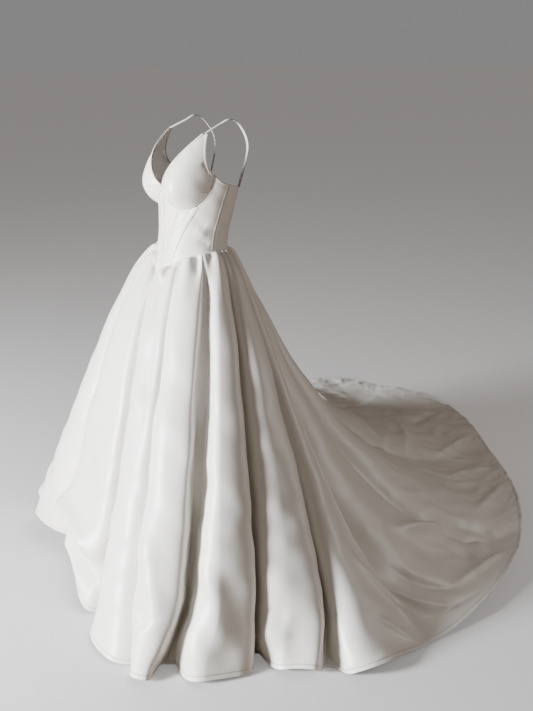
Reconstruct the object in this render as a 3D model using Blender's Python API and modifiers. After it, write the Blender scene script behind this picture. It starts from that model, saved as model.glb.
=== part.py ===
"""Wedding dress with a boned basque bodice and a pleated skirt that ends in a train.

Metres, +Z up. The wearer faces -Y and the wearer's left is +X. The origin is the centre of the
waist ring. Every cloth piece is a grid laid on one of three surfaces (torso, skirt, strap) and
thickened by Solidify.
"""

from collections import namedtuple

import bmesh
import bpy
import numpy as np

# ---------------------------------------------------------------- driving sizes
FLOOR = -1.060
BODICE_WALL = 0.0015
SKIRT_WALL = 0.0016
TRIM_WALL = 0.0010
SEAM_GAP = 0.0004
CUP_SEAM_GAP = 0.0016
WIRE_GAP = 0.0020
GORE_GAP = 0.0008
FLOOR_CLEARANCE = 0.0030

CHANNEL_WIDTH = 0.0110
BINDING_WIDTH = 0.0045
STRAP_WIDTH = 0.0110
ZIP_TAPE_WIDTH = 0.0240
TRIM_GAP = 0.0004
CENTRE_CHANNEL_LIFT = 0.0004
TRIM_LIFT = 0.0006
TAPE_DROP = 0.0008
BINDING_SHIFT = 0.0026
CHANNEL_ROWS = 10
TAPE_ROWS = 12
STRAP_ROWS = 12

CUP_ANGLE = 37.0
CUP_HALF_ANGLE = 35.0
CUP_HEIGHT = 0.236
CUP_LOWER_REACH = 0.085
CUP_UPPER_REACH = 0.200
CUP_DEPTH = 0.052
CUP_ROUNDNESS = 0.80
CUP_SPLAY = 0.30
CUP_SEAM_HEIGHT = 0.211

# Arc stations on the wire line of a cup, in degrees from its outer end round to the centre front.
WIRE_INNER = 158.0
WIRE_PRINCESS = 98.0
WIRE_CHANNEL = 53.0
WIRE_LOWER_END = 24.0
WIRE_OUTER = 20.0
WIRE_ARMHOLE = -6.0

Section = namedtuple("Section", "height half_width front_depth back_depth lean")
TORSO = (
    Section(-0.140, 0.152, 0.142, 0.120, -0.004),
    Section(-0.070, 0.137, 0.130, 0.106, -0.002),
    Section(0.000, 0.125, 0.116, 0.094, 0.000),
    Section(0.060, 0.123, 0.113, 0.091, 0.006),
    Section(0.130, 0.134, 0.120, 0.094, 0.017),
    Section(0.200, 0.147, 0.130, 0.100, 0.028),
    Section(0.280, 0.152, 0.118, 0.104, 0.044),
    Section(0.372, 0.150, 0.088, 0.098, 0.066),
    Section(0.430, 0.150, 0.055, 0.080, 0.072),
)

Edge = namedtuple("Edge", "angle waist top")
EDGES = (
    Edge(0.0, -0.078, 0.203),
    Edge(8.0, -0.062, 0.214),
    Edge(20.0, -0.034, 0.250),
    Edge(35.0, -0.008, 0.300),
    Edge(50.0, 0.007, 0.300),
    Edge(70.0, 0.018, 0.250),
    Edge(98.0, 0.022, 0.226),
    Edge(140.0, 0.022, 0.208),
    Edge(180.0, 0.020, 0.192),
)

Seam = namedtuple("Seam", "waist_angle waist_height top_angle top_height bow")
PRINCESS = Seam(7.0, -0.0645, 32.1, 0.1518, -3.0)
CHANNEL = Seam(20.0, -0.034, 58.1, 0.1681, -4.0)
SIDE = Seam(90.0, 0.0215, 98.0, 0.226, -3.0)
BACK_SIDE = Seam(135.0, 0.022, 140.0, 0.208, 0.0)
NECK_FOOT = (2.6, 0.2135)
NECK_HEAD = (46.0, 0.372)
ARM_HEAD = (52.5, 0.372)
NECK_BOW = (-1.0, -0.004)
ARM_BOW = (3.0, -0.026)

StrapPoint = namedtuple("StrapPoint", "along x y z")
STRAP = (
    StrapPoint(0.20, 0.1130, 0.036, 0.396),
    StrapPoint(0.36, 0.1150, 0.066, 0.408),
    StrapPoint(0.52, 0.1150, 0.096, 0.396),
    StrapPoint(0.74, 0.1060, 0.132, 0.330),
)
STRAP_FOOT_GAP = 0.0016
STRAP_FRONT_ANGLE = 49.25
STRAP_BACK_ANGLE = 139.0

# One row for each hem direction: where the skirt leaves the waist, where it lands, where it ends.
Drop = namedtuple("Drop", "angle out down land_radius land_height hem_radius hem_rise")
DROPS = (
    Drop(0.0, 0.110, 0.030, 0.410, -0.720, 0.460, 0.070),
    Drop(25.0, 0.100, 0.035, 0.440, -0.720, 0.560, 0.000),
    Drop(50.0, 0.095, 0.045, 0.510, -0.720, 0.715, 0.000),
    Drop(70.0, 0.095, 0.050, 0.560, -0.740, 0.705, 0.000),
    Drop(84.0, 0.100, 0.056, 0.580, -0.800, 0.725, 0.000),
    Drop(94.0, 0.100, 0.062, 0.560, -0.840, 0.835, 0.000),
    Drop(105.0, 0.105, 0.070, 0.570, -0.900, 0.870, 0.000),
    Drop(125.0, 0.112, 0.085, 0.570, -0.980, 0.960, 0.000),
    Drop(150.0, 0.118, 0.110, 0.520, -1.040, 1.120, 0.000),
    Drop(180.0, 0.122, 0.130, 0.480, -1.052, 1.400, 0.000),
    Drop(200.0, 0.125, 0.130, 0.500, -1.052, 1.710, 0.000),
    Drop(222.0, 0.130, 0.120, 0.540, -1.050, 1.750, 0.000),
    Drop(245.0, 0.125, 0.080, 0.580, -0.980, 1.150, 0.000),
    Drop(270.0, 0.130, 0.020, 0.540, -0.820, 0.780, 0.000),
    Drop(305.0, 0.135, -0.005, 0.545, -0.740, 0.705, 0.045),
    Drop(335.0, 0.130, 0.000, 0.470, -0.740, 0.505, 0.075),
)

# One row for each trough between two pipes. waist and hem are its directions, bow how far it
# swings aside at mid height and kick at the hem; depth is its depth, start how far down it opens
# and kept the share left at the hem; flat is the breadth of its level bottom as a share of a
# fold, at mid height and at the hem; before and after say how crisp its two sides are, from 1 for
# a soft slope to 2.6 for a wall.
Fold = namedtuple(
    "Fold", "name waist hem bow kick depth start kept flat flat_hem before after"
)
FOLDS = (
    Fold("centre_front", 0.0, 20.0, 6.0, 0.0, 0.092, 0.02, 1.55, 0.04, 0.08, 3.0, 1.3),
    Fold("front_left", 38.0, 42.0, 0.0, 3.0, 0.050, 0.10, 1.40, 0.04, 0.06, 1.7, 1.6),
    Fold("valley_left", 72.0, 58.0, 0.0, -6.0, 0.112, 0.05, 1.05, 0.26, 0.26, 3.2, 1.3),
    Fold("side_left", 104.0, 77.5, 1.0, -2.0, 0.110, 0.10, 1.00, 0.20, 0.30, 3.2, 2.0),
    Fold("side_back_left", 122.0, 90.0, 15.0, -1.0, 0.100, 0.15, 1.00, 0.06, 0.10, 3.0, 1.1),
    Fold("back_left", 140.0, 112.0, -2.0, 0.0, 0.035, 0.20, 0.40, 0.05, 0.05, 1.2, 1.1),
    Fold("train_left", 158.0, 148.0, -28.0, 0.0, 0.125, 0.15, 0.50, 0.30, 0.20, 2.8, 1.1),
    Fold("train_middle", 178.0, 184.0, -6.0, 0.0, 0.050, 0.15, 0.25, 0.05, 0.05, 1.3, 1.3),
    Fold("train_right", 200.0, 212.0, 0.0, 0.0, 0.080, 0.20, 0.30, 0.10, 0.10, 1.6, 1.2),
    Fold("back_right", 222.0, 240.0, 0.0, 0.0, 0.070, 0.20, 0.40, 0.10, 0.10, 1.5, 1.4),
    Fold("side_back_right", 244.0, 263.0, 0.0, 0.0, 0.080, 0.15, 0.80, 0.08, 0.08, 1.4, 1.9),
    Fold("side_right", 270.0, 285.0, 0.0, 3.0, 0.090, 0.10, 1.00, 0.10, 0.12, 1.6, 2.1),
    Fold("valley_right", 298.0, 306.0, 0.0, 0.0, 0.080, 0.08, 1.00, 0.05, 0.08, 2.0, 1.4),
    Fold("front_right", 326.0, 336.0, 0.0, 0.0, 0.045, 0.12, 1.10, 0.05, 0.08, 1.3, 1.5),
)
FOLD_WAIST_SHARE = 0.10
FOLD_WAIST_END = 0.08
FOLD_CLOSING = 0.55
FOLD_OPENING_POWER = 0.8
FOLD_PINCH = 0.055
FOLD_PINCH_FREE = 0.6
FOLD_STATIONS = (0.15, 0.50, 1.00)
KICK_START = 0.82

# Gores run between seams, each named by the fold it starts on and how far across that fold.
Gore = namedtuple("Gore", "name start end")
GORES = (
    Gore("skirt_front", 13.5, 14.5),
    Gore("skirt_front_left", 0.5, 1.5),
    Gore("skirt_side_front_left", 1.5, 2.5),
    Gore("skirt_side_left", 2.5, 4.5),
    Gore("skirt_back_left", 4.5, 6.5),
    Gore("skirt_train_left", 6.5, 7.5),
    Gore("skirt_train_right", 7.5, 8.5),
    Gore("skirt_back_right", 8.5, 10.5),
    Gore("skirt_side_right", 10.5, 12.5),
    Gore("skirt_front_right", 12.5, 13.5),
)
SKIRT_ROWS = 13
SKIRT_TOP_DROP = 0.0028
FLOOR_SOFTNESS = 0.0060
NUDGE = 0.01

Material = namedtuple("Material", "name colour roughness sheen metallic")
SATIN = Material("ivory_satin", (0.900, 0.880, 0.830, 1.0), 0.42, 0.35, 0.0)
LINING = Material("zip_tape", (0.860, 0.830, 0.770, 1.0), 0.70, 0.10, 0.0)


# ---------------------------------------------------------------- small mathematics
def smooth_column(at, stations, values):
    """Value at each station of a Catmull-Rom curve through the rows (ends held level)."""
    at = np.clip(np.asarray(at, float), stations[0], stations[-1])
    stations = np.asarray(stations, float)
    values = np.asarray(values, float)
    slope = np.gradient(values, stations)
    index = np.clip(np.searchsorted(stations, at, side="right") - 1, 0, len(stations) - 2)
    span = stations[index + 1] - stations[index]
    part = (at - stations[index]) / span
    return (
        values[index] * (1 + 2 * part) * (1 - part) ** 2
        + span * slope[index] * part * (1 - part) ** 2
        + values[index + 1] * part**2 * (3 - 2 * part)
        + span * slope[index + 1] * part**2 * (part - 1)
    )


def around(at, stations, values):
    """The same curve for a closed ring of directions in degrees."""
    stations = np.asarray(stations, float)
    values = np.asarray(values, float)
    ring = np.concatenate([stations[-3:] - 360.0, stations, stations[:3] + 360.0])
    held = np.concatenate([values[-3:], values, values[:3]])
    return smooth_column(np.mod(at, 360.0), ring, held)


def ease(at):
    """Smooth step from 0 to 1 for at from 0 to 1."""
    at = np.clip(at, 0.0, 1.0)
    return at * at * (3.0 - 2.0 * at)


def mix(low, high, part):
    return low + (high - low) * part


def unit(vectors):
    return vectors / np.linalg.norm(vectors, axis=-1, keepdims=True)


def columns(rows):
    """A table of rows as one array for each named column."""
    return {name: [getattr(row, name) for row in rows] for name in rows[0]._fields}


TORSO_COLUMNS = columns(TORSO)
EDGE_COLUMNS = columns(EDGES)
DROP_COLUMNS = columns(DROPS)
FOLD_COLUMNS = columns(FOLDS)


# ---------------------------------------------------------------- torso and cups
def torso(angle, height):
    """Body line of the bodice: an ellipse at each height, deeper or shallower at the back.

    x = half_width sin(angle), y = lean - depth cos(angle), plus the cup swell.
    """
    turn = np.radians(angle)
    heights = TORSO_COLUMNS["height"]
    half_width = smooth_column(height, heights, TORSO_COLUMNS["half_width"])
    front = smooth_column(height, heights, TORSO_COLUMNS["front_depth"])
    back = smooth_column(height, heights, TORSO_COLUMNS["back_depth"])
    lean = smooth_column(height, heights, TORSO_COLUMNS["lean"])
    depth = np.where(np.cos(turn) > 0, front, back)
    point = np.stack([half_width * np.sin(turn), lean - depth * np.cos(turn), height], -1)
    return point + cup_swell(angle, height)


def cup_swell(angle, height):
    """How far a cup stands off the body: depth (1 - across^2 - up^2)^roundness, forward."""
    side = np.sign(angle)
    across = (np.abs(angle) - CUP_ANGLE) / CUP_HALF_ANGLE
    reach = np.where(height > CUP_HEIGHT, CUP_UPPER_REACH, CUP_LOWER_REACH)
    up = (height - CUP_HEIGHT) / reach
    swell = CUP_DEPTH * np.clip(1.0 - across**2 - up**2, 0.0, 1.0) ** CUP_ROUNDNESS
    return np.stack([swell * CUP_SPLAY * side, -swell, 0.0 * swell], -1)


def wire(arc):
    """A point of the wire line round the foot of a cup, as (angle, height)."""
    turn = np.radians(arc)
    angle = CUP_ANGLE + CUP_HALF_ANGLE * np.cos(turn)
    reach = np.where(turn < 0, CUP_UPPER_REACH, CUP_LOWER_REACH)
    return np.stack([angle, CUP_HEIGHT - reach * np.sin(turn)], -1)


def wire_between(first, last):
    return lambda part: wire(mix(first, last, part))


def seam_line(seam):
    """A seam from the waist up, bowed sideways by a half sine."""

    def line(part):
        angle = mix(seam.waist_angle, seam.top_angle, part) + seam.bow * np.sin(np.pi * part)
        return np.stack([angle, mix(seam.waist_height, seam.top_height, part)], -1)

    return line


def bowed(first, last, bow):
    """A line between two (angle, height) points, bowed by a half sine in both."""

    def line(part):
        swing = np.sin(np.pi * part)
        angle = mix(first[0], last[0], part) + bow[0] * swing
        return np.stack([angle, mix(first[1], last[1], part) + bow[1] * swing], -1)

    return line


def edge_line(kind, first, last):
    """The waist edge or the top edge between two directions."""

    def line(part):
        angle = mix(first, last, part)
        return np.stack([angle, smooth_column(angle, EDGE_COLUMNS["angle"], EDGE_COLUMNS[kind])], -1)

    return line


def joined(first, second, share):
    """Two lines run one after the other, the first taking the given share."""

    def line(part):
        early = first(np.clip(part / share, 0.0, 1.0))
        late = second(np.clip((part - share) / (1.0 - share), 0.0, 1.0))
        return np.where((part < share)[..., None], early, late)

    return line


def patch(left, right, bottom, top, across, up):
    """Coons patch between four lines, in (angle, height)."""
    s, t = np.meshgrid(across, up, indexing="ij")
    s, t = s[..., None], t[..., None]
    flat_s, flat_t = s[..., 0], t[..., 0]
    ruled = mix(left(flat_t), right(flat_t), s) + mix(bottom(flat_s), top(flat_s), t)
    zero, one = np.zeros_like(flat_s), np.ones_like(flat_s)
    corners = mix(mix(bottom(zero), bottom(one), s), mix(top(zero), top(one), s), t)
    return ruled - corners


def inward(edge, inner):
    """Directions square to an edge of a grid, pointing to its inner row."""
    run = unit(np.gradient(edge, axis=0))
    aim = inner - edge
    return unit(aim - run * np.sum(aim * run, -1, keepdims=True))


def inset(points, left, right, bottom, top):
    """Moves each edge of a grid inward by its own gap, square to the edge."""
    moved = points.copy()
    moved[0] += inward(points[0], points[1]) * left
    moved[-1] += inward(points[-1], points[-2]) * right
    moved[:, 0] += inward(points[:, 0], points[:, 1]) * bottom
    moved[:, -1] += inward(points[:, -1], points[:, -2]) * top
    return moved


def cup_outer_edge(part):
    """The outer edge of an upper cup: up the wire line, then up the armhole to the strap."""
    rise = wire_between(WIRE_OUTER, WIRE_ARMHOLE)
    return joined(rise, bowed(tuple(wire(WIRE_ARMHOLE)), ARM_HEAD, ARM_BOW), 0.25)(part)


CUP_INNER_TOP = (22.0, CUP_SEAM_HEIGHT + 0.0010)
NECK_LINE = bowed(NECK_FOOT, NECK_HEAD, NECK_BOW)

# gaps runs left, right, bottom, top. Pieces that meet on a wire line share its stations.
Panel = namedtuple("Panel", "name left right bottom top columns rows gaps")
STRAIGHT = (0.0, 0.0)
HALF = SEAM_GAP / 2
CUP_SEAM_HALF = CUP_SEAM_GAP / 2
CUP_GAP = WIRE_GAP / 2
CENTRE_FOOT = (0.0, -0.078)
CENTRE_HEAD = (0.0, 0.203)
BACK_FOOT = (180.0, 0.020)
BACK_HEAD = (180.0, 0.192)
SIDE_HEAD = (SIDE.top_angle, SIDE.top_height)


def corner(arc):
    return tuple(wire(arc))


CUP_SEAM_INNER = bowed(NECK_FOOT, CUP_INNER_TOP, STRAIGHT)
CUP_SEAM_OUTER = bowed(CUP_INNER_TOP, corner(WIRE_OUTER), STRAIGHT)
CUP_MIDDLE_SEAM = bowed(corner(WIRE_PRINCESS), CUP_INNER_TOP, (-1.5, 0.0))
FRONT_TOP = joined(
    bowed(CENTRE_HEAD, corner(WIRE_INNER), STRAIGHT), wire_between(WIRE_INNER, WIRE_PRINCESS), 1 / 5
)
LOWER_OUTER_BASE = joined(
    wire_between(WIRE_PRINCESS, WIRE_CHANNEL), wire_between(WIRE_CHANNEL, WIRE_LOWER_END), 1 / 2
)
CUP_OUTER_WIRE = joined(
    wire_between(WIRE_CHANNEL, WIRE_LOWER_END),
    joined(wire_between(WIRE_LOWER_END, WIRE_OUTER), wire_between(WIRE_OUTER, WIRE_ARMHOLE), 1 / 3),
    3 / 6,
)
SIDE_FRONT_INNER = joined(seam_line(CHANNEL), CUP_OUTER_WIRE, 6 / 12)
PANELS = (
    Panel(
        "bodice_front", bowed(CENTRE_FOOT, CENTRE_HEAD, STRAIGHT), seam_line(PRINCESS),
        edge_line("waist", 0.0, PRINCESS.waist_angle), FRONT_TOP, 5, 6, (HALF, HALF, HALF, CUP_GAP),
    ),
    Panel(
        "bodice_front_middle", seam_line(PRINCESS), seam_line(CHANNEL),
        edge_line("waist", PRINCESS.waist_angle, CHANNEL.waist_angle),
        wire_between(WIRE_PRINCESS, WIRE_CHANNEL), 3, 6, (HALF, HALF, HALF, CUP_GAP),
    ),
    Panel(
        "bodice_side_front", SIDE_FRONT_INNER, seam_line(SIDE),
        edge_line("waist", CHANNEL.waist_angle, SIDE.waist_angle),
        bowed(corner(WIRE_ARMHOLE), SIDE_HEAD, (0.0, -0.006)), 5, 12, (CUP_GAP, HALF, HALF, HALF),
    ),
    Panel(
        "bodice_back_side", seam_line(SIDE), seam_line(BACK_SIDE),
        edge_line("waist", SIDE.waist_angle, BACK_SIDE.waist_angle),
        edge_line("top", SIDE.top_angle, BACK_SIDE.top_angle), 3, 12, (HALF, HALF, HALF, HALF),
    ),
    Panel(
        "bodice_back", seam_line(BACK_SIDE), bowed(BACK_FOOT, BACK_HEAD, STRAIGHT),
        edge_line("waist", BACK_SIDE.waist_angle, 180.0),
        edge_line("top", BACK_SIDE.top_angle, 180.0), 4, 12, (HALF, HALF, HALF, HALF),
    ),
    Panel(
        "cup_upper", NECK_LINE, cup_outer_edge, joined(CUP_SEAM_INNER, CUP_SEAM_OUTER, 4 / 10),
        bowed(NECK_HEAD, ARM_HEAD, STRAIGHT), 10, 8, (HALF, CUP_GAP, CUP_SEAM_HALF, HALF),
    ),
    Panel(
        "cup_lower_inner", bowed(corner(WIRE_INNER), NECK_FOOT, STRAIGHT), CUP_MIDDLE_SEAM,
        wire_between(WIRE_INNER, WIRE_PRINCESS), CUP_SEAM_INNER, 4, 4,
        (CUP_GAP, HALF, CUP_GAP, CUP_SEAM_HALF),
    ),
    Panel(
        "cup_lower_outer", CUP_MIDDLE_SEAM,
        bowed(corner(WIRE_LOWER_END), corner(WIRE_OUTER), STRAIGHT),
        LOWER_OUTER_BASE, CUP_SEAM_OUTER, 6, 4, (HALF, CUP_GAP, CUP_GAP, CUP_SEAM_HALF),
    ),
)


# ---------------------------------------------------------------- skirt
def fold_directions(place, kind):
    """Direction in degrees of a place counted in folds, at the waist or at the hem."""
    count = len(FOLDS)
    stations = np.arange(-1, count + 2)
    values = np.array([FOLD_COLUMNS[kind][i % count] + 360.0 * (i // count) for i in stations])
    return np.interp(place, stations, values)


def fold_column(place, kind):
    """A fold column blended evenly between the two troughs beside a place."""
    count = len(FOLDS)
    values = np.array([*FOLD_COLUMNS[kind], FOLD_COLUMNS[kind][0], FOLD_COLUMNS[kind][1]])
    return np.interp(place, np.arange(count + 2), values)


def own_trough(place, kind):
    """A fold column's value at the trough nearest to a place."""
    return np.array(FOLD_COLUMNS[kind])[np.mod(np.round(place).astype(int), len(FOLDS))]


def crispness(place):
    """How steep the side of the nearest trough is, on the side the place lies on."""
    beyond = place > np.round(place)
    return np.where(beyond, own_trough(place, "after"), own_trough(place, "before"))


def trough_flat(place, down):
    """Breadth of the nearest trough's level bottom: widest at mid height and again at the hem."""
    middle = own_trough(place, "flat") * (1.0 - 0.7 * ease((down - 0.60) / 0.30))
    flat = mix(middle, own_trough(place, "flat_hem"), ease((down - 0.88) / 0.12))
    return flat * ease(down / 0.25)


def fold_wave(place, down):
    """1 in a trough and 0 on a pipe: 1 - (1 - (1 - u)^2)^(1/crispness).

    u runs from 0 where the trough's level bottom ends to 1 on top of the pipe.
    """
    gap = place - np.round(place)
    flat = np.where(gap > 0.0, trough_flat(place, down), 0.0)
    u = np.clip((np.abs(gap) - flat) / (0.5 - flat), 0.0, 1.0)
    return 1.0 - (1.0 - (1.0 - u) ** 2) ** (1.0 / crispness(place))


def fold_share(place, down):
    """How much of its depth a fold has: it opens below the waist and partly closes at the hem."""
    start = fold_column(place, "start")
    opened = ease((down - start) / (1.0 - start)) ** FOLD_OPENING_POWER
    share = FOLD_WAIST_SHARE * ease(down / FOLD_WAIST_END) + (1.0 - FOLD_WAIST_SHARE) * opened
    closed = ease((down - FOLD_CLOSING) / (1.0 - FOLD_CLOSING))
    return share * mix(1.0, fold_column(place, "kept"), closed)


def ray(angle):
    """The level direction of an angle in degrees, as a vector."""
    turn = np.radians(angle)
    return np.stack([np.sin(turn), -np.cos(turn), 0.0 * turn], -1)


def skirt_base(place, down):
    """The skirt without its folds: a cubic Bezier from the waist edge to the hem."""
    waist_turn = fold_directions(place, "waist")
    kick = fold_column(place, "kick") * ease((down - KICK_START) / (1.0 - KICK_START))
    hem_turn = fold_directions(place, "hem") + kick
    folded = np.abs(np.mod(waist_turn + 180.0, 360.0) - 180.0)
    edge = smooth_column(folded, EDGE_COLUMNS["angle"], EDGE_COLUMNS["waist"]) - SKIRT_TOP_DROP
    side = np.where(np.mod(waist_turn, 360.0) > 180.0, -1.0, 1.0)
    start = torso(folded * side, edge)
    angles = DROP_COLUMNS["angle"]
    drop = {name: around(hem_turn, angles, DROP_COLUMNS[name]) for name in Drop._fields[1:]}
    shoulder = start + ray(waist_turn) * drop["out"][..., None]
    shoulder[..., 2] -= drop["down"]
    land = ray(hem_turn + fold_column(place, "bow")) * drop["land_radius"][..., None]
    land[..., 2] = drop["land_height"]
    hem = ray(hem_turn) * drop["hem_radius"][..., None]
    hem[..., 2] = FLOOR + FLOOR_CLEARANCE + drop["hem_rise"]
    part = down[..., None]
    return (
        start * (1 - part) ** 3
        + 3 * shoulder * part * (1 - part) ** 2
        + 3 * land * part**2 * (1 - part)
        + hem * part**3
    )


def above_floor(points):
    """Lifts what would sink below the floor: z = least + soft log(1 + exp(height / soft))."""
    least = FLOOR + FLOOR_CLEARANCE
    height = (points[..., 2] - least) / FLOOR_SOFTNESS
    raised = np.where(height > 8, height, np.log1p(np.exp(np.clip(height, -30, 8))))
    points[..., 2] = least + FLOOR_SOFTNESS * raised
    return points


def skirt(place, down):
    """The pleated skirt: the base moved in along its normal by the fold wave, above the floor."""
    gap = place - np.round(place)
    share = fold_share(place, down)
    pinch = FOLD_PINCH * (crispness(place) - FOLD_PINCH_FREE)
    moved = place - pinch * np.sin(2 * np.pi * gap) * np.clip(share * 1.5, 0.0, 1.0)
    low, high = np.clip(down - NUDGE, 0, 1), np.clip(down + NUDGE, 0, 1)
    along = skirt_base(moved, high) - skirt_base(moved, low)
    across = skirt_base(moved + NUDGE, down) - skirt_base(moved - NUDGE, down)
    normal = unit(np.cross(along, across))
    depth = fold_column(place, "depth") * share
    level = np.clip(normal[..., 2], 0.0, 1.0) ** 2
    lift = depth * (level - fold_wave(place, down))
    return above_floor(skirt_base(moved, down) + normal * lift[..., None])


def gore_places(gore):
    """Places across a gore: each trough, the end of its level bottom, its side and the pipe."""
    places = [gore.start]
    for half in np.arange(gore.start, gore.end, 0.5):
        rising = abs(half - round(half)) < 0.25
        trough = round(half) if rising else round(half + 0.5)
        flat = FOLD_COLUMNS["flat"][trough % len(FOLDS)] if rising else 0.0
        gaps = [flat + (0.5 - flat) * part for part in FOLD_STATIONS]
        if rising:
            places += [trough + gap for gap in gaps]
        else:
            places += [trough - gap for gap in gaps[-2::-1]] + [float(trough)]
    return np.array(places)


# ---------------------------------------------------------------- straps and trims
def strap_columns():
    """The strap rows between its two feet, which stand just above the cup and the back edge."""
    front_height = NECK_HEAD[1] + STRAP_FOOT_GAP
    back_height = smooth_column(STRAP_BACK_ANGLE, EDGE_COLUMNS["angle"], EDGE_COLUMNS["top"])
    front = StrapPoint(0.0, *torso(np.array(STRAP_FRONT_ANGLE), np.array(front_height)))
    back = StrapPoint(1.0, *torso(np.array(STRAP_BACK_ANGLE), back_height + STRAP_FOOT_GAP))
    return columns((front, *STRAP, back))


def strap(across, along, side):
    """A flat strap over the shoulder: a curve through the rows, widened sideways."""
    rows = strap_columns()

    def centre(at):
        return np.stack([smooth_column(at, rows["along"], rows[axis]) for axis in "xyz"], -1)

    run = unit(centre(along + NUDGE) - centre(along - NUDGE))
    outward = unit(np.cross(run, np.array([1.0, 0.12, 0.10])))
    sideways = unit(np.cross(outward, run))
    point = centre(along) + sideways * (across * STRAP_WIDTH)[..., None]
    point[..., 0] *= side
    return point


def off_surface(angle, height, distance):
    """A point of the torso moved out along its normal."""
    turn, rise = 0.4, 0.002
    across = torso(angle + turn, height) - torso(angle - turn, height)
    upward = torso(angle, height + rise) - torso(angle, height - rise)
    normal = unit(np.cross(across, upward))
    return torso(angle, height) + normal * np.asarray(distance)[..., None]


def strip_on_torso(line, width, distance, rows, side, start=0.0, end=1.0, shift=0.0):
    """A strip of even width laid along a line of the torso, moved out from it."""
    part = np.linspace(start, end, rows + 1)
    step = 0.004
    here = line(part)
    run = line(np.clip(part + step, 0, 1)) - line(np.clip(part - step, 0, 1))
    radius = np.linalg.norm(off_surface(here[..., 0], here[..., 1], 0.0)[..., :2], axis=-1)
    flat = unit(np.stack([np.radians(run[..., 0]) * radius, run[..., 1]], -1))
    sideways = np.stack([flat[..., 1], -flat[..., 0]], -1)
    grid = []
    for offset in (-0.5, 0.0, 0.5):
        shifted = sideways * (width * offset + shift)
        angle = here[..., 0] + np.degrees(shifted[..., 0] / radius)
        height = here[..., 1] + shifted[..., 1]
        grid.append(off_surface(angle, height, distance + 0.0 * angle))
    grid = np.stack(grid)
    grid[..., 0] *= side
    return grid


Trim = namedtuple("Trim", "name line width start end shift")
TRIMS = (
    Trim("channel", seam_line(CHANNEL), CHANNEL_WIDTH, 0.03, 0.95, 0.0),
    Trim("neck_binding", NECK_LINE, BINDING_WIDTH, 0.06, 0.99, BINDING_SHIFT),
    Trim("arm_binding", cup_outer_edge, BINDING_WIDTH, 0.30, 0.99, -BINDING_SHIFT),
)


# ---------------------------------------------------------------- Blender side
def material(row):
    made = bpy.data.materials.new(row.name)
    made.use_nodes = True
    shader = made.node_tree.nodes["Principled BSDF"]
    shader.inputs["Base Color"].default_value = row.colour
    shader.inputs["Roughness"].default_value = row.roughness
    shader.inputs["Metallic"].default_value = row.metallic
    shader.inputs["Sheen Weight"].default_value = row.sheen
    made.diffuse_color = row.colour
    return made


def shell(name, points, wall, coat, collection):
    """A named solid: a grid of points, thickened evenly to both sides."""
    across, along = points.shape[0] - 1, points.shape[1] - 1
    mesh = bpy.data.meshes.new(name)
    grid = bmesh.new()
    bmesh.ops.create_grid(grid, x_segments=across, y_segments=along, size=0.5)
    grid.verts.ensure_lookup_table()
    for vertex in grid.verts:
        i = round((vertex.co.x + 0.5) * across)
        j = round((vertex.co.y + 0.5) * along)
        vertex.co = points[i, j]
    grid.to_mesh(mesh)
    grid.free()
    made = bpy.data.objects.new(name, mesh)
    collection.objects.link(made)
    made.data.materials.append(coat)
    thicken = made.modifiers.new("wall", "SOLIDIFY")
    thicken.thickness = wall
    thicken.offset = 0.0
    return made


def build_bodice(coat, collection):
    for panel in PANELS:
        across = np.linspace(0, 1, panel.columns + 1)
        up = np.linspace(0, 1, panel.rows + 1)
        flat = patch(panel.left, panel.right, panel.bottom, panel.top, across, up)
        points = inset(torso(flat[..., 0], flat[..., 1]), *panel.gaps)
        mirrored = points * np.array([-1.0, 1.0, 1.0])
        shell(panel.name + "_left", points, BODICE_WALL, coat, collection)
        shell(panel.name + "_right", mirrored[::-1], BODICE_WALL, coat, collection)


def build_trims(coat, tape, collection):
    lift = BODICE_WALL / 2 + TRIM_GAP + TRIM_WALL / 2
    centre = bowed((0.0, -0.070), (0.0, 0.196), STRAIGHT)
    points = strip_on_torso(centre, CHANNEL_WIDTH, lift + CENTRE_CHANNEL_LIFT, CHANNEL_ROWS, 1)
    shell("channel_centre_front", points, TRIM_WALL, coat, collection)
    for side, word in ((1, "left"), (-1, "right")):
        facing = slice(None, None, side)
        for trim in TRIMS:
            points = strip_on_torso(
                trim.line, trim.width, lift + TRIM_LIFT, CHANNEL_ROWS, side,
                trim.start, trim.end, trim.shift,
            )
            shell(f"{trim.name}_{word}", points[facing], TRIM_WALL, coat, collection)
        half, whole = np.linspace(-0.5, 0.5, 3), np.linspace(0, 1, STRAP_ROWS + 1)
        points = strap(*np.meshgrid(half, whole, indexing="ij"), side)
        shell(f"strap_{word}", points[facing], BODICE_WALL, coat, collection)
    closing = bowed((180.0, 0.026), (180.0, 0.186), STRAIGHT)
    points = strip_on_torso(closing, ZIP_TAPE_WIDTH, -lift - TAPE_DROP, TAPE_ROWS, 1)
    shell("zip_tape_back", points, TRIM_WALL, tape, collection)


def build_skirt(coat, collection):
    down = np.linspace(0, 1, SKIRT_ROWS + 1)
    for gore in GORES:
        points = skirt(*np.meshgrid(gore_places(gore), down, indexing="ij"))
        points = inset(points, GORE_GAP / 2, GORE_GAP / 2, 0.0, 0.0)
        shell(gore.name, points, SKIRT_WALL, coat, collection)


def main():
    for old in list(bpy.data.objects):
        bpy.data.objects.remove(old, do_unlink=True)
    dress = bpy.data.collections.new("wedding_dress")
    bpy.context.scene.collection.children.link(dress)
    satin = material(SATIN)
    tape = material(LINING)
    build_bodice(satin, dress)
    build_trims(satin, tape, dress)
    build_skirt(satin, dress)


main()
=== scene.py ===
"""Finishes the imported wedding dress: satin panels, boned seams, pleated skirt, train and studio.

Metres, +Z up. The wearer faces -Y, the wearer's left is +X, and the origin is the waist's centre.
Three surfaces carry every piece: the torso, as a function of direction and height, the skirt, as a
function of place (counted in folds) and down (0 at the waist, 1 at the hem), and the strap.
"""

import math
from collections import namedtuple

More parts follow.
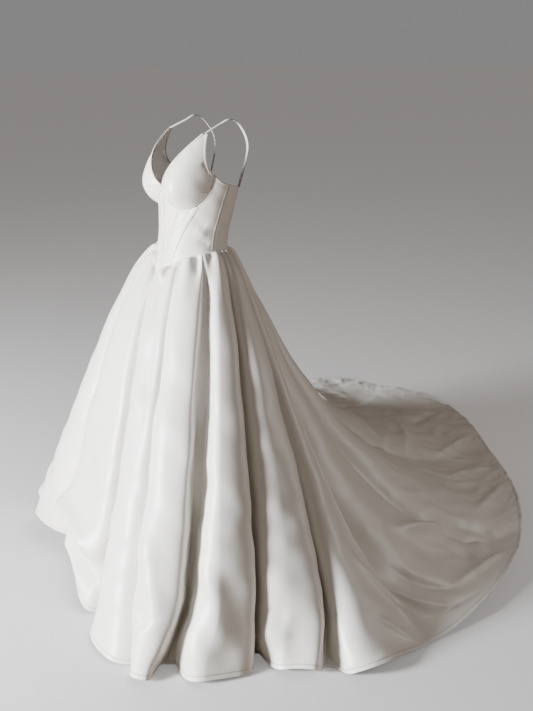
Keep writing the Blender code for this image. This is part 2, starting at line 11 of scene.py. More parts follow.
import bpy
import numpy as np
from bpy.props import FloatProperty, FloatVectorProperty, IntProperty, PointerProperty
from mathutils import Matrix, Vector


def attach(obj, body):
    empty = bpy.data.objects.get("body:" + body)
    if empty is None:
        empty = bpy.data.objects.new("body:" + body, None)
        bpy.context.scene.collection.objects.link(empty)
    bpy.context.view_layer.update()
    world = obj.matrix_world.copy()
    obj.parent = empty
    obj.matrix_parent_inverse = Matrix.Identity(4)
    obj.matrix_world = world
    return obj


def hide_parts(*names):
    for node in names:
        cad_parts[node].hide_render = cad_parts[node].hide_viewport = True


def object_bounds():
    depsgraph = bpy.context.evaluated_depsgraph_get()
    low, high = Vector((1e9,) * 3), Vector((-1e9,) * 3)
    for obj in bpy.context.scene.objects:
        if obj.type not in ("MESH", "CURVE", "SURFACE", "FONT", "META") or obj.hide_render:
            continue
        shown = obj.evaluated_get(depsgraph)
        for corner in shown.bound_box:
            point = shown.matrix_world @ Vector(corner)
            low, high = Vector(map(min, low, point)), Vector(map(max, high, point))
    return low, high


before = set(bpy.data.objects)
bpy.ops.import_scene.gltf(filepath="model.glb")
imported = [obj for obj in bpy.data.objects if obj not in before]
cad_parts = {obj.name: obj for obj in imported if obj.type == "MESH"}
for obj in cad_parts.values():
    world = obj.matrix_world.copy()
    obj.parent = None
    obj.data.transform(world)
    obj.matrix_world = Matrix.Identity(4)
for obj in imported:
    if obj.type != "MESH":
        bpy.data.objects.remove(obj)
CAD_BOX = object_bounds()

bl_info = {
    "name": "Wedding Dress",
    "version": (1, 0, 0),
    "blender": (4, 5, 0),
    "location": "View3D > Sidebar > Dress",
    "description": "Builds the satin pieces, the folds and the studio of a wedding dress",
    "category": "Add Mesh",
}

# ---------------------------------------------------------------- driving sizes
HEM_CLEARANCE = 0.0030
FLOOR = CAD_BOX[0].z - 0.0025
FLOOR_SOFTNESS = 0.005
SOFT_RANGE = (-30.0, 8.0)
HEM_LINE_WIDTH = 0.0022
GLOSS_DRIFT = (-0.04, 0.06)
SHEEN_ROUGHNESS = 0.45
TAPE_ROUGHNESS = 0.72
FLOOR_ROUGHNESS = 0.9
TRIM_GAP = 0.0003
TAPE_DROP = 0.0006
CHANNEL_CROWN = 0.0008
BINDING_CROWN = 0.0006
STRAP_CROWN = 0.0022

CUP_ANGLE = 37.0
CUP_HALF_ANGLE = 35.0
CUP_HEIGHT = 0.236
CUP_LOWER_REACH = 0.085
CUP_UPPER_REACH = 0.200
CUP_DEPTH = 0.052
CUP_ROUNDNESS = 0.80
CUP_SPLAY = 0.30
CUP_SEAM_HEIGHT = 0.211

# Stations on the wire line of a cup, in degrees from its outer end round to the centre front.
WIRE_INNER = 158.0
WIRE_PRINCESS = 98.0
WIRE_CHANNEL = 53.0
WIRE_LOWER_END = 24.0
WIRE_OUTER = 20.0
WIRE_ARMHOLE = -6.0

Section = namedtuple("Section", "height half_width front_depth back_depth lean")
TORSO = (
    Section(-0.140, 0.152, 0.142, 0.120, -0.004),
    Section(-0.070, 0.137, 0.130, 0.106, -0.002),
    Section(0.000, 0.125, 0.116, 0.094, 0.000),
    Section(0.060, 0.123, 0.113, 0.091, 0.006),
    Section(0.130, 0.134, 0.120, 0.094, 0.017),
    Section(0.200, 0.147, 0.130, 0.100, 0.028),
    Section(0.280, 0.152, 0.118, 0.104, 0.044),
    Section(0.372, 0.150, 0.088, 0.098, 0.066),
    Section(0.430, 0.150, 0.055, 0.080, 0.072),
)

TORSO_ANGLE_STEP = 0.5
TORSO_HEIGHT_STEP = 0.002

Edge = namedtuple("Edge", "angle waist top")
EDGES = (
    Edge(0.0, -0.078, 0.203),
    Edge(8.0, -0.062, 0.214),
    Edge(20.0, -0.034, 0.250),
    Edge(35.0, -0.008, 0.300),
    Edge(50.0, 0.007, 0.300),
    Edge(70.0, 0.018, 0.250),
    Edge(98.0, 0.022, 0.226),
    Edge(140.0, 0.022, 0.208),
    Edge(180.0, 0.020, 0.192),
)

Seam = namedtuple("Seam", "waist_angle waist_height top_angle top_height bow")
PRINCESS = Seam(7.0, -0.0645, 32.1, 0.1518, -3.0)
CHANNEL = Seam(20.0, -0.034, 58.1, 0.1681, -4.0)
SIDE = Seam(90.0, 0.0215, 98.0, 0.226, -3.0)
BACK_SIDE = Seam(135.0, 0.022, 140.0, 0.208, 0.0)
NECK_FOOT = (2.6, 0.2135)
NECK_HEAD = (46.0, 0.372)
ARM_HEAD = (52.5, 0.372)
NECK_BOW = (-1.0, -0.004)
ARM_BOW = (3.0, -0.026)

StrapPoint = namedtuple("StrapPoint", "along x y z")
STRAP = (
    StrapPoint(0.20, 0.1130, 0.036, 0.396),
    StrapPoint(0.36, 0.1150, 0.066, 0.408),
    StrapPoint(0.52, 0.1150, 0.096, 0.396),
    StrapPoint(0.74, 0.1060, 0.132, 0.330),
)
STRAP_FRONT_ANGLE = 49.25
STRAP_BACK_ANGLE = 139.0
STRAP_FOOT_OVERLAP = -0.0005
STRAP_OUTWARD = (1.0, 0.12, 0.10)
STRAP_STEP = 0.01
STRIP_STEP = 0.004

# One row for each hem direction: where the skirt leaves the waist, where it lands, where it ends.
Drop = namedtuple("Drop", "angle out down land_radius land_height hem_radius hem_rise")
DROPS = (
    Drop(0.0, 0.110, 0.030, 0.410, -0.720, 0.460, 0.070),
    Drop(25.0, 0.100, 0.035, 0.440, -0.720, 0.560, 0.000),
    Drop(50.0, 0.095, 0.045, 0.510, -0.720, 0.715, 0.000),
    Drop(70.0, 0.095, 0.050, 0.560, -0.740, 0.705, 0.000),
    Drop(84.0, 0.100, 0.056, 0.580, -0.800, 0.725, 0.000),
    Drop(94.0, 0.100, 0.062, 0.560, -0.840, 0.835, 0.000),
    Drop(105.0, 0.105, 0.070, 0.570, -0.900, 0.870, 0.000),
    Drop(125.0, 0.112, 0.085, 0.570, -0.980, 0.960, 0.000),
    Drop(150.0, 0.118, 0.110, 0.520, -1.040, 1.120, 0.000),
    Drop(180.0, 0.122, 0.130, 0.480, -1.052, 1.400, 0.000),
    Drop(200.0, 0.125, 0.130, 0.500, -1.052, 1.710, 0.000),
    Drop(222.0, 0.130, 0.120, 0.540, -1.050, 1.750, 0.000),
    Drop(245.0, 0.125, 0.080, 0.580, -0.980, 1.150, 0.000),
    Drop(270.0, 0.130, 0.020, 0.540, -0.820, 0.780, 0.000),
    Drop(305.0, 0.135, -0.005, 0.545, -0.740, 0.705, 0.045),
    Drop(335.0, 0.130, 0.000, 0.470, -0.740, 0.505, 0.075),
)

# One row for each trough between two pipes. waist and hem are its directions, bow how far it
# swings aside at mid height and kick at the hem; depth is its depth, start how far down it opens
# and kept the share left at the hem; flat is the breadth of the level bottom that follows it, as a
# share of a fold, at mid height and at the hem; before and after say how crisp its two sides are,
# from 1 for a soft slope to 3 for a wall.
Fold = namedtuple("Fold", "name waist hem bow kick depth start kept flat flat_hem before after")
FOLDS = (
    Fold("centre_front", 0.0, 20.0, 6.0, 0.0, 0.092, 0.02, 1.55, 0.04, 0.08, 3.0, 1.3),
    Fold("front_left", 38.0, 42.0, 0.0, 3.0, 0.050, 0.10, 1.40, 0.04, 0.06, 1.7, 1.6),
    Fold("valley_left", 72.0, 58.0, 0.0, -6.0, 0.112, 0.05, 1.05, 0.26, 0.26, 3.2, 1.3),
    Fold("side_left", 104.0, 77.5, 1.0, -2.0, 0.110, 0.10, 1.00, 0.20, 0.30, 3.2, 2.0),
    Fold("side_back_left", 122.0, 90.0, 15.0, -1.0, 0.100, 0.15, 1.00, 0.06, 0.10, 3.0, 1.1),
    Fold("back_left", 140.0, 112.0, -2.0, 0.0, 0.035, 0.20, 0.40, 0.05, 0.05, 1.2, 1.1),
    Fold("train_left", 158.0, 148.0, -28.0, 0.0, 0.125, 0.15, 0.50, 0.30, 0.20, 2.8, 1.1),
    Fold("train_middle", 178.0, 184.0, -6.0, 0.0, 0.050, 0.15, 0.25, 0.05, 0.05, 1.3, 1.3),
    Fold("train_right", 200.0, 212.0, 0.0, 0.0, 0.080, 0.20, 0.30, 0.10, 0.10, 1.6, 1.2),
    Fold("back_right", 222.0, 240.0, 0.0, 0.0, 0.070, 0.20, 0.40, 0.10, 0.10, 1.5, 1.4),
    Fold("side_back_right", 244.0, 263.0, 0.0, 0.0, 0.080, 0.15, 0.80, 0.08, 0.08, 1.4, 1.9),
    Fold("side_right", 270.0, 285.0, 0.0, 3.0, 0.090, 0.10, 1.00, 0.10, 0.12, 1.6, 2.1),
    Fold("valley_right", 298.0, 306.0, 0.0, 0.0, 0.080, 0.08, 1.00, 0.05, 0.08, 2.0, 1.4),
    Fold("front_right", 326.0, 336.0, 0.0, 0.0, 0.045, 0.12, 1.10, 0.05, 0.08, 1.3, 1.5),
)
FOLD_WAIST_SHARE = 0.12
FOLD_WAIST_END = 0.08
FOLD_CLOSING = 0.55
FOLD_OPENING_POWER = 0.8
FOLD_PINCH = 0.055
FOLD_PINCH_FREE = 0.6
FOLD_PINCH_ONSET = 1.5
FOLD_BLUR = 0.022
FOLD_BLUR_PLACES = 5
FLAT_OPEN = 0.25
FLAT_LOSS = 0.7
FLAT_STATIONS = (0.60, 0.90)
FLAT_HEM_START = 0.88
KICK_START = 0.82
SKIRT_STEP = 0.01
FOLDED_STEP = 0.006
SKIRT_RISE = 0.0040
SKIRT_TUCK = 0.0022
SKIRT_TUCK_END = 0.03
PLEAT_DEPTH = 0.0055
PLEAT_END = 0.30
PLEATS_PER_FOLD = 2
PLEAT_WANDER = 1.3
PLEAT_WANDER_TURNS = 1.7
TRAIN_RADII = (0.80, 1.25)
TRAIN_STATIONS = (0.50, 0.80)

# Unevenness of the satin, a row for each kind of wave: the setting that gives its height, its share
# of that, its length in metres, its seed, and how far down it starts and is full, which are both 0
# where it is full everywhere.
Wave = namedtuple("Wave", "setting share length seed start full")
BODICE_WAVE = Wave("body_softness", 1.0, 0.06, 5, 0.0, 0.0)
SKIRT_WAVES = (
    Wave("softness", 1.0, 0.22, 11, 0.0, 0.3),
    Wave("softness", 0.35, 0.09, 12, 0.2, 0.7),
)
TRAIN_CRUMPLES = (
    Wave("train_crumple", 1.0, 0.17, 31, 0.0, 0.0),
    Wave("train_crumple", 0.4, 0.09, 41, 0.80, 1.0),
)
HEM_RIPPLE = Wave("hem_ripple", 1.0, 0.05, 51, 0.93, 1.0)
HEM_RIPPLE_STANDING = 0.1
HEM_RIPPLE_TRAIN = 0.5
WAVE_COUNT = 9

# Gores run between seams on the tops of the pipes. start and end count folds from the centre front,
# towards the wearer's left, and the 14th trough is the first again.
Gore = namedtuple("Gore", "name start end")
GORES = (
    Gore("skirt_front", 13.5, 14.5),
    Gore("skirt_front_left", 0.5, 1.5),
    Gore("skirt_side_front_left", 1.5, 2.5),
    Gore("skirt_side_left", 2.5, 4.5),
    Gore("skirt_back_left", 4.5, 6.5),
    Gore("skirt_train_left", 6.5, 7.5),
    Gore("skirt_train_right", 7.5, 8.5),
    Gore("skirt_back_right", 8.5, 10.5),
    Gore("skirt_side_right", 10.5, 12.5),
    Gore("skirt_front_right", 12.5, 13.5),
)
RING_OF_GORES = (*GORES[1:], GORES[0])
GORE_LEAST_COLUMNS = 14
GORE_CROWDING = 1.6
GORE_CROWDING_LEVEL = 1.15
LEVEL_BOTTOM = 0.1

# A crease runs from one point to another, swings aside by bow, and is a ridge if height is
# positive and a trough if it is negative. On the skirt its ends are (place, down), on the torso
# (angle, height). width is half its breadth.
Crease = namedtuple("Crease", "name start end bow height width")
SKIRT_CREASES = (
    Crease("tip_tuck", (0.66, 0.010), (0.36, 0.095), 0.06, 0.016, 0.015),
    Crease("tip_hollow", (0.86, 0.004), (0.60, 0.110), 0.05, -0.009, 0.012),
    Crease("front_soft_fold", (0.62, 0.10), (0.72, 0.62), 0.02, -0.010, 0.022),
    Crease("front_soft_ridge", (0.82, 0.12), (0.92, 0.70), 0.02, 0.008, 0.022),
    Crease("side_dart_1", (1.72, 0.005), (1.80, 0.16), 0.01, -0.006, 0.008),
    Crease("side_dart_2", (2.02, 0.005), (2.10, 0.20), 0.01, 0.006, 0.008),
    Crease("second_pipe_turn", (1.20, 0.66), (1.66, 0.94), 0.06, 0.014, 0.030),
    Crease("second_pipe_hollow", (1.30, 0.86), (1.52, 0.90), 0.02, -0.008, 0.020),
    Crease("third_pipe_turn", (2.24, 0.72), (2.56, 0.96), 0.05, 0.012, 0.030),
    Crease("third_pipe_hollow", (2.46, 0.76), (2.74, 0.95), 0.02, -0.006, 0.034),
    Crease("fourth_pipe_pinch", (3.10, 0.85), (3.50, 0.875), 0.01, -0.006, 0.020),
    Crease("fourth_pipe_roll", (3.10, 0.90), (3.56, 0.915), 0.012, 0.006, 0.020),
    Crease("fourth_pipe_low", (3.22, 0.945), (3.46, 0.950), 0.01, -0.003, 0.018),
    Crease("train_peak", (5.50, 0.72), (6.05, 0.85), 0.02, 0.034, 0.020),
    Crease("train_peak_edge", (6.05, 0.85), (5.90, 0.94), 0.02, 0.020, 0.022),
    Crease("train_peak_hollow", (5.72, 0.83), (5.70, 0.93), 0.02, -0.012, 0.024),
    Crease("train_peak_fall", (6.20, 0.84), (6.16, 0.95), 0.02, -0.014, 0.020),
    Crease("near_train_1", (4.62, 0.74), (5.10, 0.90), 0.02, 0.012, 0.012),
    Crease("near_train_2", (4.95, 0.80), (5.35, 0.97), 0.02, 0.014, 0.011),
    Crease("near_train_3", (5.20, 0.78), (5.52, 0.95), -0.02, -0.012, 0.013),
    Crease("near_train_4", (5.45, 0.90), (5.85, 0.98), 0.02, 0.013, 0.010),
    Crease("near_train_5", (4.55, 0.88), (4.90, 0.98), 0.02, 0.010, 0.010),
    Crease("near_train_6", (5.05, 0.92), (5.62, 0.99), 0.01, -0.009, 0.010),
    Crease("rim_fold_1", (6.30, 0.88), (6.62, 0.99), 0.02, 0.011, 0.014),
    Crease("rim_fold_2", (6.72, 0.86), (6.80, 0.99), 0.03, 0.012, 0.014),
    Crease("rim_fold_3", (7.02, 0.86), (7.22, 0.99), 0.02, 0.011, 0.014),
    Crease("rim_fold_4", (7.46, 0.86), (7.52, 0.98), 0.02, -0.010, 0.015),
    Crease("far_train_1", (6.75, 0.70), (7.35, 0.76), 0.02, 0.013, 0.020),
    Crease("far_train_2", (6.95, 0.78), (7.62, 0.86), 0.03, 0.013, 0.018),
    Crease("far_train_3", (7.25, 0.72), (7.85, 0.80), 0.02, -0.009, 0.020),
    Crease("far_train_4", (7.60, 0.72), (8.20, 0.82), 0.02, 0.011, 0.018),
    Crease("far_train_5", (8.05, 0.82), (8.45, 0.96), 0.02, 0.010, 0.016),
    Crease("far_side_1", (8.70, 0.76), (9.05, 0.94), 0.02, 0.014, 0.012),
    Crease("far_side_2", (9.35, 0.72), (9.62, 0.95), 0.02, -0.012, 0.014),
    Crease("far_side_pinch", (10.40, 0.86), (10.70, 0.88), 0.01, -0.009, 0.012),
    Crease("right_pipe_turn", (11.40, 0.76), (11.75, 0.94), 0.05, 0.014, 0.028),
    Crease("right_pipe_hollow", (12.40, 0.84), (12.62, 0.90), 0.02, -0.008, 0.020),
    Crease("leaf_roll", (12.90, 0.83), (13.92, 0.86), 0.02, 0.055, 0.034),
    Crease("leaf_hollow", (13.25, 0.900), (13.97, 0.915), 0.01, -0.050, 0.017),
    Crease("leaf_lip", (13.20, 0.955), (13.80, 0.965), 0.00, 0.022, 0.018),
)
TORSO_CREASES = (
    Crease("cup_edge_tuck", (73.6, 0.262), (71.6, 0.203), 0.0, -0.0035, 0.0045),
    Crease("armhole_drag", (59.0, 0.296), (70.5, 0.262), 1.5, -0.0036, 0.0055),
    Crease("armhole_drag_low", (63.0, 0.300), (71.5, 0.274), 1.0, 0.0026, 0.0055),
    Crease("side_dent", (52.0, 0.125), (74.0, 0.098), 2.0, -0.0026, 0.0110),
    Crease("side_swell", (58.0, 0.100), (78.0, 0.070), -2.0, 0.0022, 0.0100),
    Crease("waist_drag", (62.0, 0.060), (84.0, 0.045), 1.0, -0.0018, 0.0080),
    Crease("cup_drag", (30.0, 0.292), (44.0, 0.325), 1.0, -0.0010, 0.0090),
    Crease("back_drag", (150.0, 0.120), (172.0, 0.110), 1.0, -0.0016, 0.0090),
    Crease("back_drag_low", (146.0, 0.060), (170.0, 0.052), 1.0, 0.0014, 0.0090),
)
CREASE_STATIONS = 9
CREASE_REACH = 5.0
CREASE_FADE = 0.35
CREASE_EDGE = 1.5

# Flat cut of each piece: greatest width and length, area, how it is held and what it lies on or
# hangs from. A name without a side stands for both sides, and {side} for the same side.
Cut = namedtuple("Cut", "name width length area held on")

# source names the stage setting that a lamp's power is a share of; size is the side of its square.
Lamp = namedtuple("Lamp", "name spot size source share colour")
LAMPS = (
    Lamp("key", (-0.15, -4.0, 0.25), 1.0, "key_power", 1.0, (0.97, 0.985, 1.0)),
    Lamp("front_fill", (2.0, -3.2, 1.4), 2.4, "key_power", 0.012, (0.93, 0.97, 1.0)),
    Lamp("train_fill", (1.9, 2.4, 0.4), 0.8, "fill_power", 0.85, (0.97, 0.98, 1.0)),
    Lamp("warm_fill", (1.8, 3.6, 1.6), 2.5, "fill_power", 1.0, (1.0, 0.72, 0.52)),
)
LAMP_AIM = (0.0, 0.2, -0.35)
SENSOR_WIDTH = 36.0


# ---------------------------------------------------------------- small mathematics
def smooth_column(at, stations, values):
    """Cubic Hermite curve through the rows of a table, level beyond its ends."""
    at = np.clip(np.asarray(at, float), stations[0], stations[-1])
    stations = np.asarray(stations, float)
    values = np.asarray(values, float)
    slope = np.gradient(values, stations)
    index = np.clip(np.searchsorted(stations, at, side="right") - 1, 0, len(stations) - 2)
    span = stations[index + 1] - stations[index]
    part = (at - stations[index]) / span
    return (
        values[index] * (1 + 2 * part) * (1 - part) ** 2
        + span * slope[index] * part * (1 - part) ** 2
        + values[index + 1] * part**2 * (3 - 2 * part)
        + span * slope[index + 1] * part**2 * (part - 1)
    )


def around(at, stations, values):
    """The same curve for a closed ring of directions in degrees."""
    stations = np.asarray(stations, float)
    values = np.asarray(values, float)
    ring = np.concatenate([stations[-3:] - 360.0, stations, stations[:3] + 360.0])
    held = np.concatenate([values[-3:], values, values[:3]])
    return smooth_column(np.mod(at, 360.0), ring, held)


def ease(at):
    """Smooth step 3t^2 - 2t^3, from 0 to 1."""
    at = np.clip(at, 0.0, 1.0)
    return at * at * (3.0 - 2.0 * at)


def mix(low, high, part):
    """Straight blend from low, at 0, to high, at 1."""
    return low + (high - low) * part


def unit(vectors):
    """Vectors brought to length 1."""
    return vectors / np.linalg.norm(vectors, axis=-1, keepdims=True)


def columns(rows):
    """A table of rows as one list for each named column."""
    return {name: [getattr(row, name) for row in rows] for name in rows[0]._fields}


TORSO_COLUMNS = columns(TORSO)
EDGE_COLUMNS = columns(EDGES)
DROP_COLUMNS = columns(DROPS)
FOLD_COLUMNS = columns(FOLDS)


def ray(angle):
    """Level unit vector of a direction: x = sin, y = -cos."""
    turn = np.radians(angle)
    return np.stack([np.sin(turn), -np.cos(turn), 0.0 * turn], -1)


def normal_of(shape, first, second, first_step, second_step, lowest=-np.inf, highest=np.inf):
    """Unit normal of a surface, from the cross product of its two central differences."""
    low, high = (np.clip(second + s, lowest, highest) for s in (-second_step, second_step))
    across = shape(first + first_step, second) - shape(first - first_step, second)
    return unit(np.cross(across, shape(first, high) - shape(first, low)))


def crease_lift(points, rows, shape):
    """Sum over creases of height exp(-sqrt(gap^2 / width^2 + 1/4) + 1/2), faded at both ends.

    gap is the distance from a point to the crease's own line, which lies on the same surface.
    """
    lift = np.zeros(points.shape[:-1])
    part = np.linspace(0.0, 1.0, CREASE_STATIONS)
    for row in rows:
        first = mix(row.start[0], row.end[0], part) + row.bow * np.sin(np.pi * part)
        line = shape(first, mix(row.start[1], row.end[1], part))
        reach = CREASE_REACH * row.width
        near = np.all((points > line.min(0) - reach) & (points < line.max(0) + reach), axis=-1)
        if not near.any():
            continue
        close = points[near]
        best = np.full(len(close), np.inf)
        along = np.zeros(len(close))
        for k in range(CREASE_STATIONS - 1):
            run = line[k + 1] - line[k]
            share = np.clip((close - line[k]) @ run / max(run @ run, 1e-12), 0.0, 1.0)
            gap = np.linalg.norm(close - line[k] - share[:, None] * run, axis=-1)
            along = np.where(gap < best, (k + share) / (CREASE_STATIONS - 1), along)
            best = np.minimum(best, gap)
        fade = ease(along / CREASE_FADE) * ease((1.0 - along) / CREASE_FADE)
        fade = fade * ease((CREASE_REACH - best / row.width) / CREASE_EDGE)
        lift[near] += row.height * fade * np.exp(0.5 - np.sqrt((best / row.width) ** 2 + 0.25))
    return lift


def waves(points, length, seed):
    """Sum of sine waves of about one length in fixed random directions, of unit strength."""
    random = np.random.default_rng(seed)
    total = np.zeros(points.shape[:-1])
    for _ in range(WAVE_COUNT):
        direction = unit(random.normal(size=3)) * 2 * np.pi / (length * random.uniform(0.7, 1.4))
        total += np.sin(points @ direction + random.uniform(0.0, 2 * np.pi))
    return total / math.sqrt(WAVE_COUNT / 2)


def crumple(points, length, seed):
    """Ridges 1 - 1.6 sqrt(w^2 + 0.01) of waves w, on points that longer waves have pushed aside."""
    pushed = points + 0.22 * length * np.stack(
        [waves(points, 1.7 * length, seed + k) for k in (1, 2, 3)], -1
    )
    return 1.0 - 1.6 * np.sqrt(waves(pushed, length, seed) ** 2 + 0.01)


def uneven(pattern, points, wave, sizes, down=0.0):
    """One row of unevenness: setting x share x pattern x smooth step from start to full."""
    grown = 1.0 if wave.start == wave.full else ease((down - wave.start) / (wave.full - wave.start))
    return getattr(sizes, wave.setting) * wave.share * pattern(points, wave.length, wave.seed) * grown


# ---------------------------------------------------------------- torso and cups
def torso(angle, height):
    """Body line: x = half_width sin(angle), y = lean - depth cos(angle), plus the cup swell."""
    turn = np.radians(angle)
    heights = TORSO_COLUMNS["height"]
    half_width = smooth_column(height, heights, TORSO_COLUMNS["half_width"])
    front = smooth_column(height, heights, TORSO_COLUMNS["front_depth"])
    back = smooth_column(height, heights, TORSO_COLUMNS["back_depth"])
    lean = smooth_column(height, heights, TORSO_COLUMNS["lean"])
    depth = np.where(np.cos(turn) > 0, front, back)
    point = np.stack([half_width * np.sin(turn), lean - depth * np.cos(turn), height + 0 * turn], -1)
    return point + cup_swell(angle, height)


def cup_swell(angle, height):
    """How far a cup stands off the body: depth (1 - across^2 - up^2)^roundness, forward."""
    side = np.sign(angle)
    across = (np.abs(angle) - CUP_ANGLE) / CUP_HALF_ANGLE
    reach = np.where(height > CUP_HEIGHT, CUP_UPPER_REACH, CUP_LOWER_REACH)
    up = (height - CUP_HEIGHT) / reach
    swell = CUP_DEPTH * np.clip(1.0 - across**2 - up**2, 0.0, 1.0) ** CUP_ROUNDNESS
    return np.stack([swell * CUP_SPLAY * side, -swell, 0.0 * swell], -1)


def torso_normal(angle, height):
    """Outward unit normal of the torso."""
    return normal_of(torso, angle, height, TORSO_ANGLE_STEP, TORSO_HEIGHT_STEP)


def wire(arc):
    """A point of the wire line round the foot of a cup, as (angle, height)."""
    turn = np.radians(arc)
    angle = CUP_ANGLE + CUP_HALF_ANGLE * np.cos(turn)
    reach = np.where(turn < 0, CUP_UPPER_REACH, CUP_LOWER_REACH)
    return np.stack([angle, CUP_HEIGHT - reach * np.sin(turn)], -1)


def wire_between(first, last):
    """The stretch of the wire line between two arcs, as a line from 0 to 1."""
    return lambda part: wire(mix(first, last, part))


def corner(arc):
    """One point of the wire line, as a plain pair."""
    return tuple(wire(arc))


def seam_line(seam):
    """A seam from the waist up, bowed sideways by a half sine."""

    def line(part):
        angle = mix(seam.waist_angle, seam.top_angle, part) + seam.bow * np.sin(np.pi * part)
        return np.stack([angle, mix(seam.waist_height, seam.top_height, part)], -1)

    return line


def bowed(first, last, bow=(0.0, 0.0)):
    """A line between two (angle, height) points, bowed by a half sine in both."""

    def line(part):
        swing = np.sin(np.pi * part)
        angle = mix(first[0], last[0], part) + bow[0] * swing
        return np.stack([angle, mix(first[1], last[1], part) + bow[1] * swing], -1)

    return line


def edge_line(kind, first, last):
    """The waist edge or the top edge between two directions."""

    def line(part):
        angle = mix(first, last, part)
        return np.stack([angle, smooth_column(angle, EDGE_COLUMNS["angle"], EDGE_COLUMNS[kind])], -1)

    return line


def joined(first, second, share):
    """Two lines run one after the other, the first taking the given share."""

    def line(part):
        early = first(np.clip(part / share, 0.0, 1.0))
        late = second(np.clip((part - share) / (1.0 - share), 0.0, 1.0))
        return np.where((part < share)[..., None], early, late)

    return line


def patch(left, right, bottom, top, across, up):
    """Coons patch between four lines, in (angle, height)."""
    s, t = np.meshgrid(across, up, indexing="ij")
    ruled = mix(left(t), right(t), s[..., None]) + mix(bottom(s), top(s), t[..., None])
    zero, one = np.zeros_like(s), np.ones_like(s)
    low = mix(bottom(zero), bottom(one), s[..., None])
    high = mix(top(zero), top(one), s[..., None])
    return ruled - mix(low, high, t[..., None])


def cup_outer_edge(part):
    """The outer edge of an upper cup: up the wire line, then up the armhole to the strap."""
    rise = wire_between(WIRE_OUTER, WIRE_ARMHOLE)
    return joined(rise, bowed(corner(WIRE_ARMHOLE), ARM_HEAD, ARM_BOW), 0.25)(part)


NECK_LINE = bowed(NECK_FOOT, NECK_HEAD, NECK_BOW)
CUP_INNER_TOP = (22.0, CUP_SEAM_HEIGHT + 0.0010)
CENTRE_FOOT = (0.0, -0.078)
CENTRE_HEAD = (0.0, 0.203)
BACK_FOOT = (180.0, 0.020)
BACK_HEAD = (180.0, 0.192)
SIDE_HEAD = (SIDE.top_angle, SIDE.top_height)
CUP_SEAM_INNER = bowed(NECK_FOOT, CUP_INNER_TOP)
CUP_SEAM_OUTER = bowed(CUP_INNER_TOP, corner(WIRE_OUTER))
CUP_MIDDLE_SEAM = bowed(corner(WIRE_PRINCESS), CUP_INNER_TOP, (-1.5, 0.0))
FRONT_TOP = joined(
    bowed(CENTRE_HEAD, corner(WIRE_INNER)), wire_between(WIRE_INNER, WIRE_PRINCESS), 1 / 5
)
LOWER_OUTER_BASE = joined(
    wire_between(WIRE_PRINCESS, WIRE_CHANNEL), wire_between(WIRE_CHANNEL, WIRE_LOWER_END), 1 / 2
)
CUP_OUTER_WIRE = joined(
    wire_between(WIRE_CHANNEL, WIRE_LOWER_END),
    joined(wire_between(WIRE_LOWER_END, WIRE_OUTER), wire_between(WIRE_OUTER, WIRE_ARMHOLE), 1 / 3),
    1 / 2,
)
SIDE_FRONT_INNER = joined(seam_line(CHANNEL), CUP_OUTER_WIRE, 1 / 2)

# columns and rows are the piece's grid.
Panel = namedtuple("Panel", "name left right bottom top columns rows")
BODICE_PANELS = (
    Panel(
        "bodice_front", bowed(CENTRE_FOOT, CENTRE_HEAD), seam_line(PRINCESS),
        edge_line("waist", 0.0, PRINCESS.waist_angle), FRONT_TOP, 34, 84,
    ),
    Panel(
        "bodice_front_middle", seam_line(PRINCESS), seam_line(CHANNEL),
        edge_line("waist", PRINCESS.waist_angle, CHANNEL.waist_angle),
        wire_between(WIRE_PRINCESS, WIRE_CHANNEL), 30, 84,
    ),
    Panel(
        "bodice_side_front", SIDE_FRONT_INNER, seam_line(SIDE),
        edge_line("waist", CHANNEL.waist_angle, SIDE.waist_angle),
        bowed(corner(WIRE_ARMHOLE), SIDE_HEAD, (0.0, -0.006)), 56, 96,
    ),
    Panel(
        "bodice_back_side", seam_line(SIDE), seam_line(BACK_SIDE),
        edge_line("waist", SIDE.waist_angle, BACK_SIDE.waist_angle),
        edge_line("top", SIDE.top_angle, BACK_SIDE.top_angle), 36, 72,
    ),
    Panel(
        "bodice_back", seam_line(BACK_SIDE), bowed(BACK_FOOT, BACK_HEAD),
        edge_line("waist", BACK_SIDE.waist_angle, 180.0),
        edge_line("top", BACK_SIDE.top_angle, 180.0), 36, 66,
    ),
)
CUP_PANELS = (
    Panel(
        "cup_upper", NECK_LINE, cup_outer_edge, joined(CUP_SEAM_INNER, CUP_SEAM_OUTER, 4 / 10),
        bowed(NECK_HEAD, ARM_HEAD), 64, 64,
    ),
    Panel(
        "cup_lower_inner", bowed(corner(WIRE_INNER), NECK_FOOT), CUP_MIDDLE_SEAM,
        wire_between(WIRE_INNER, WIRE_PRINCESS), CUP_SEAM_INNER, 32, 32,
    ),
    Panel(
        "cup_lower_outer", CUP_MIDDLE_SEAM, bowed(corner(WIRE_LOWER_END), corner(WIRE_OUTER)),
        LOWER_OUTER_BASE, CUP_SEAM_OUTER, 40, 32,
    ),
)


def crowded(count):
    """Stations from 0 to 1, closer together at both ends: t - sin(2 pi t) / 9."""
    even = np.linspace(0.0, 1.0, count + 1)
    return even - np.sin(2 * np.pi * even) / 9.0


def run_lengths(points, axis):
    """Distance walked along a grid's rows or columns from their first point."""
    steps = np.linalg.norm(np.diff(points, axis=axis), axis=-1)
    return np.cumsum(np.insert(steps, 0, 0.0, axis=axis), axis=axis)


def edge_distance(points):
    """Distance from each grid point to the nearest of the grid's four edges."""
    gaps = []
    for axis in (0, 1):
        walked = run_lengths(points, axis)
        gaps += [walked, walked.max(axis=axis, keepdims=True) - walked]
    return np.minimum.reduce(gaps)


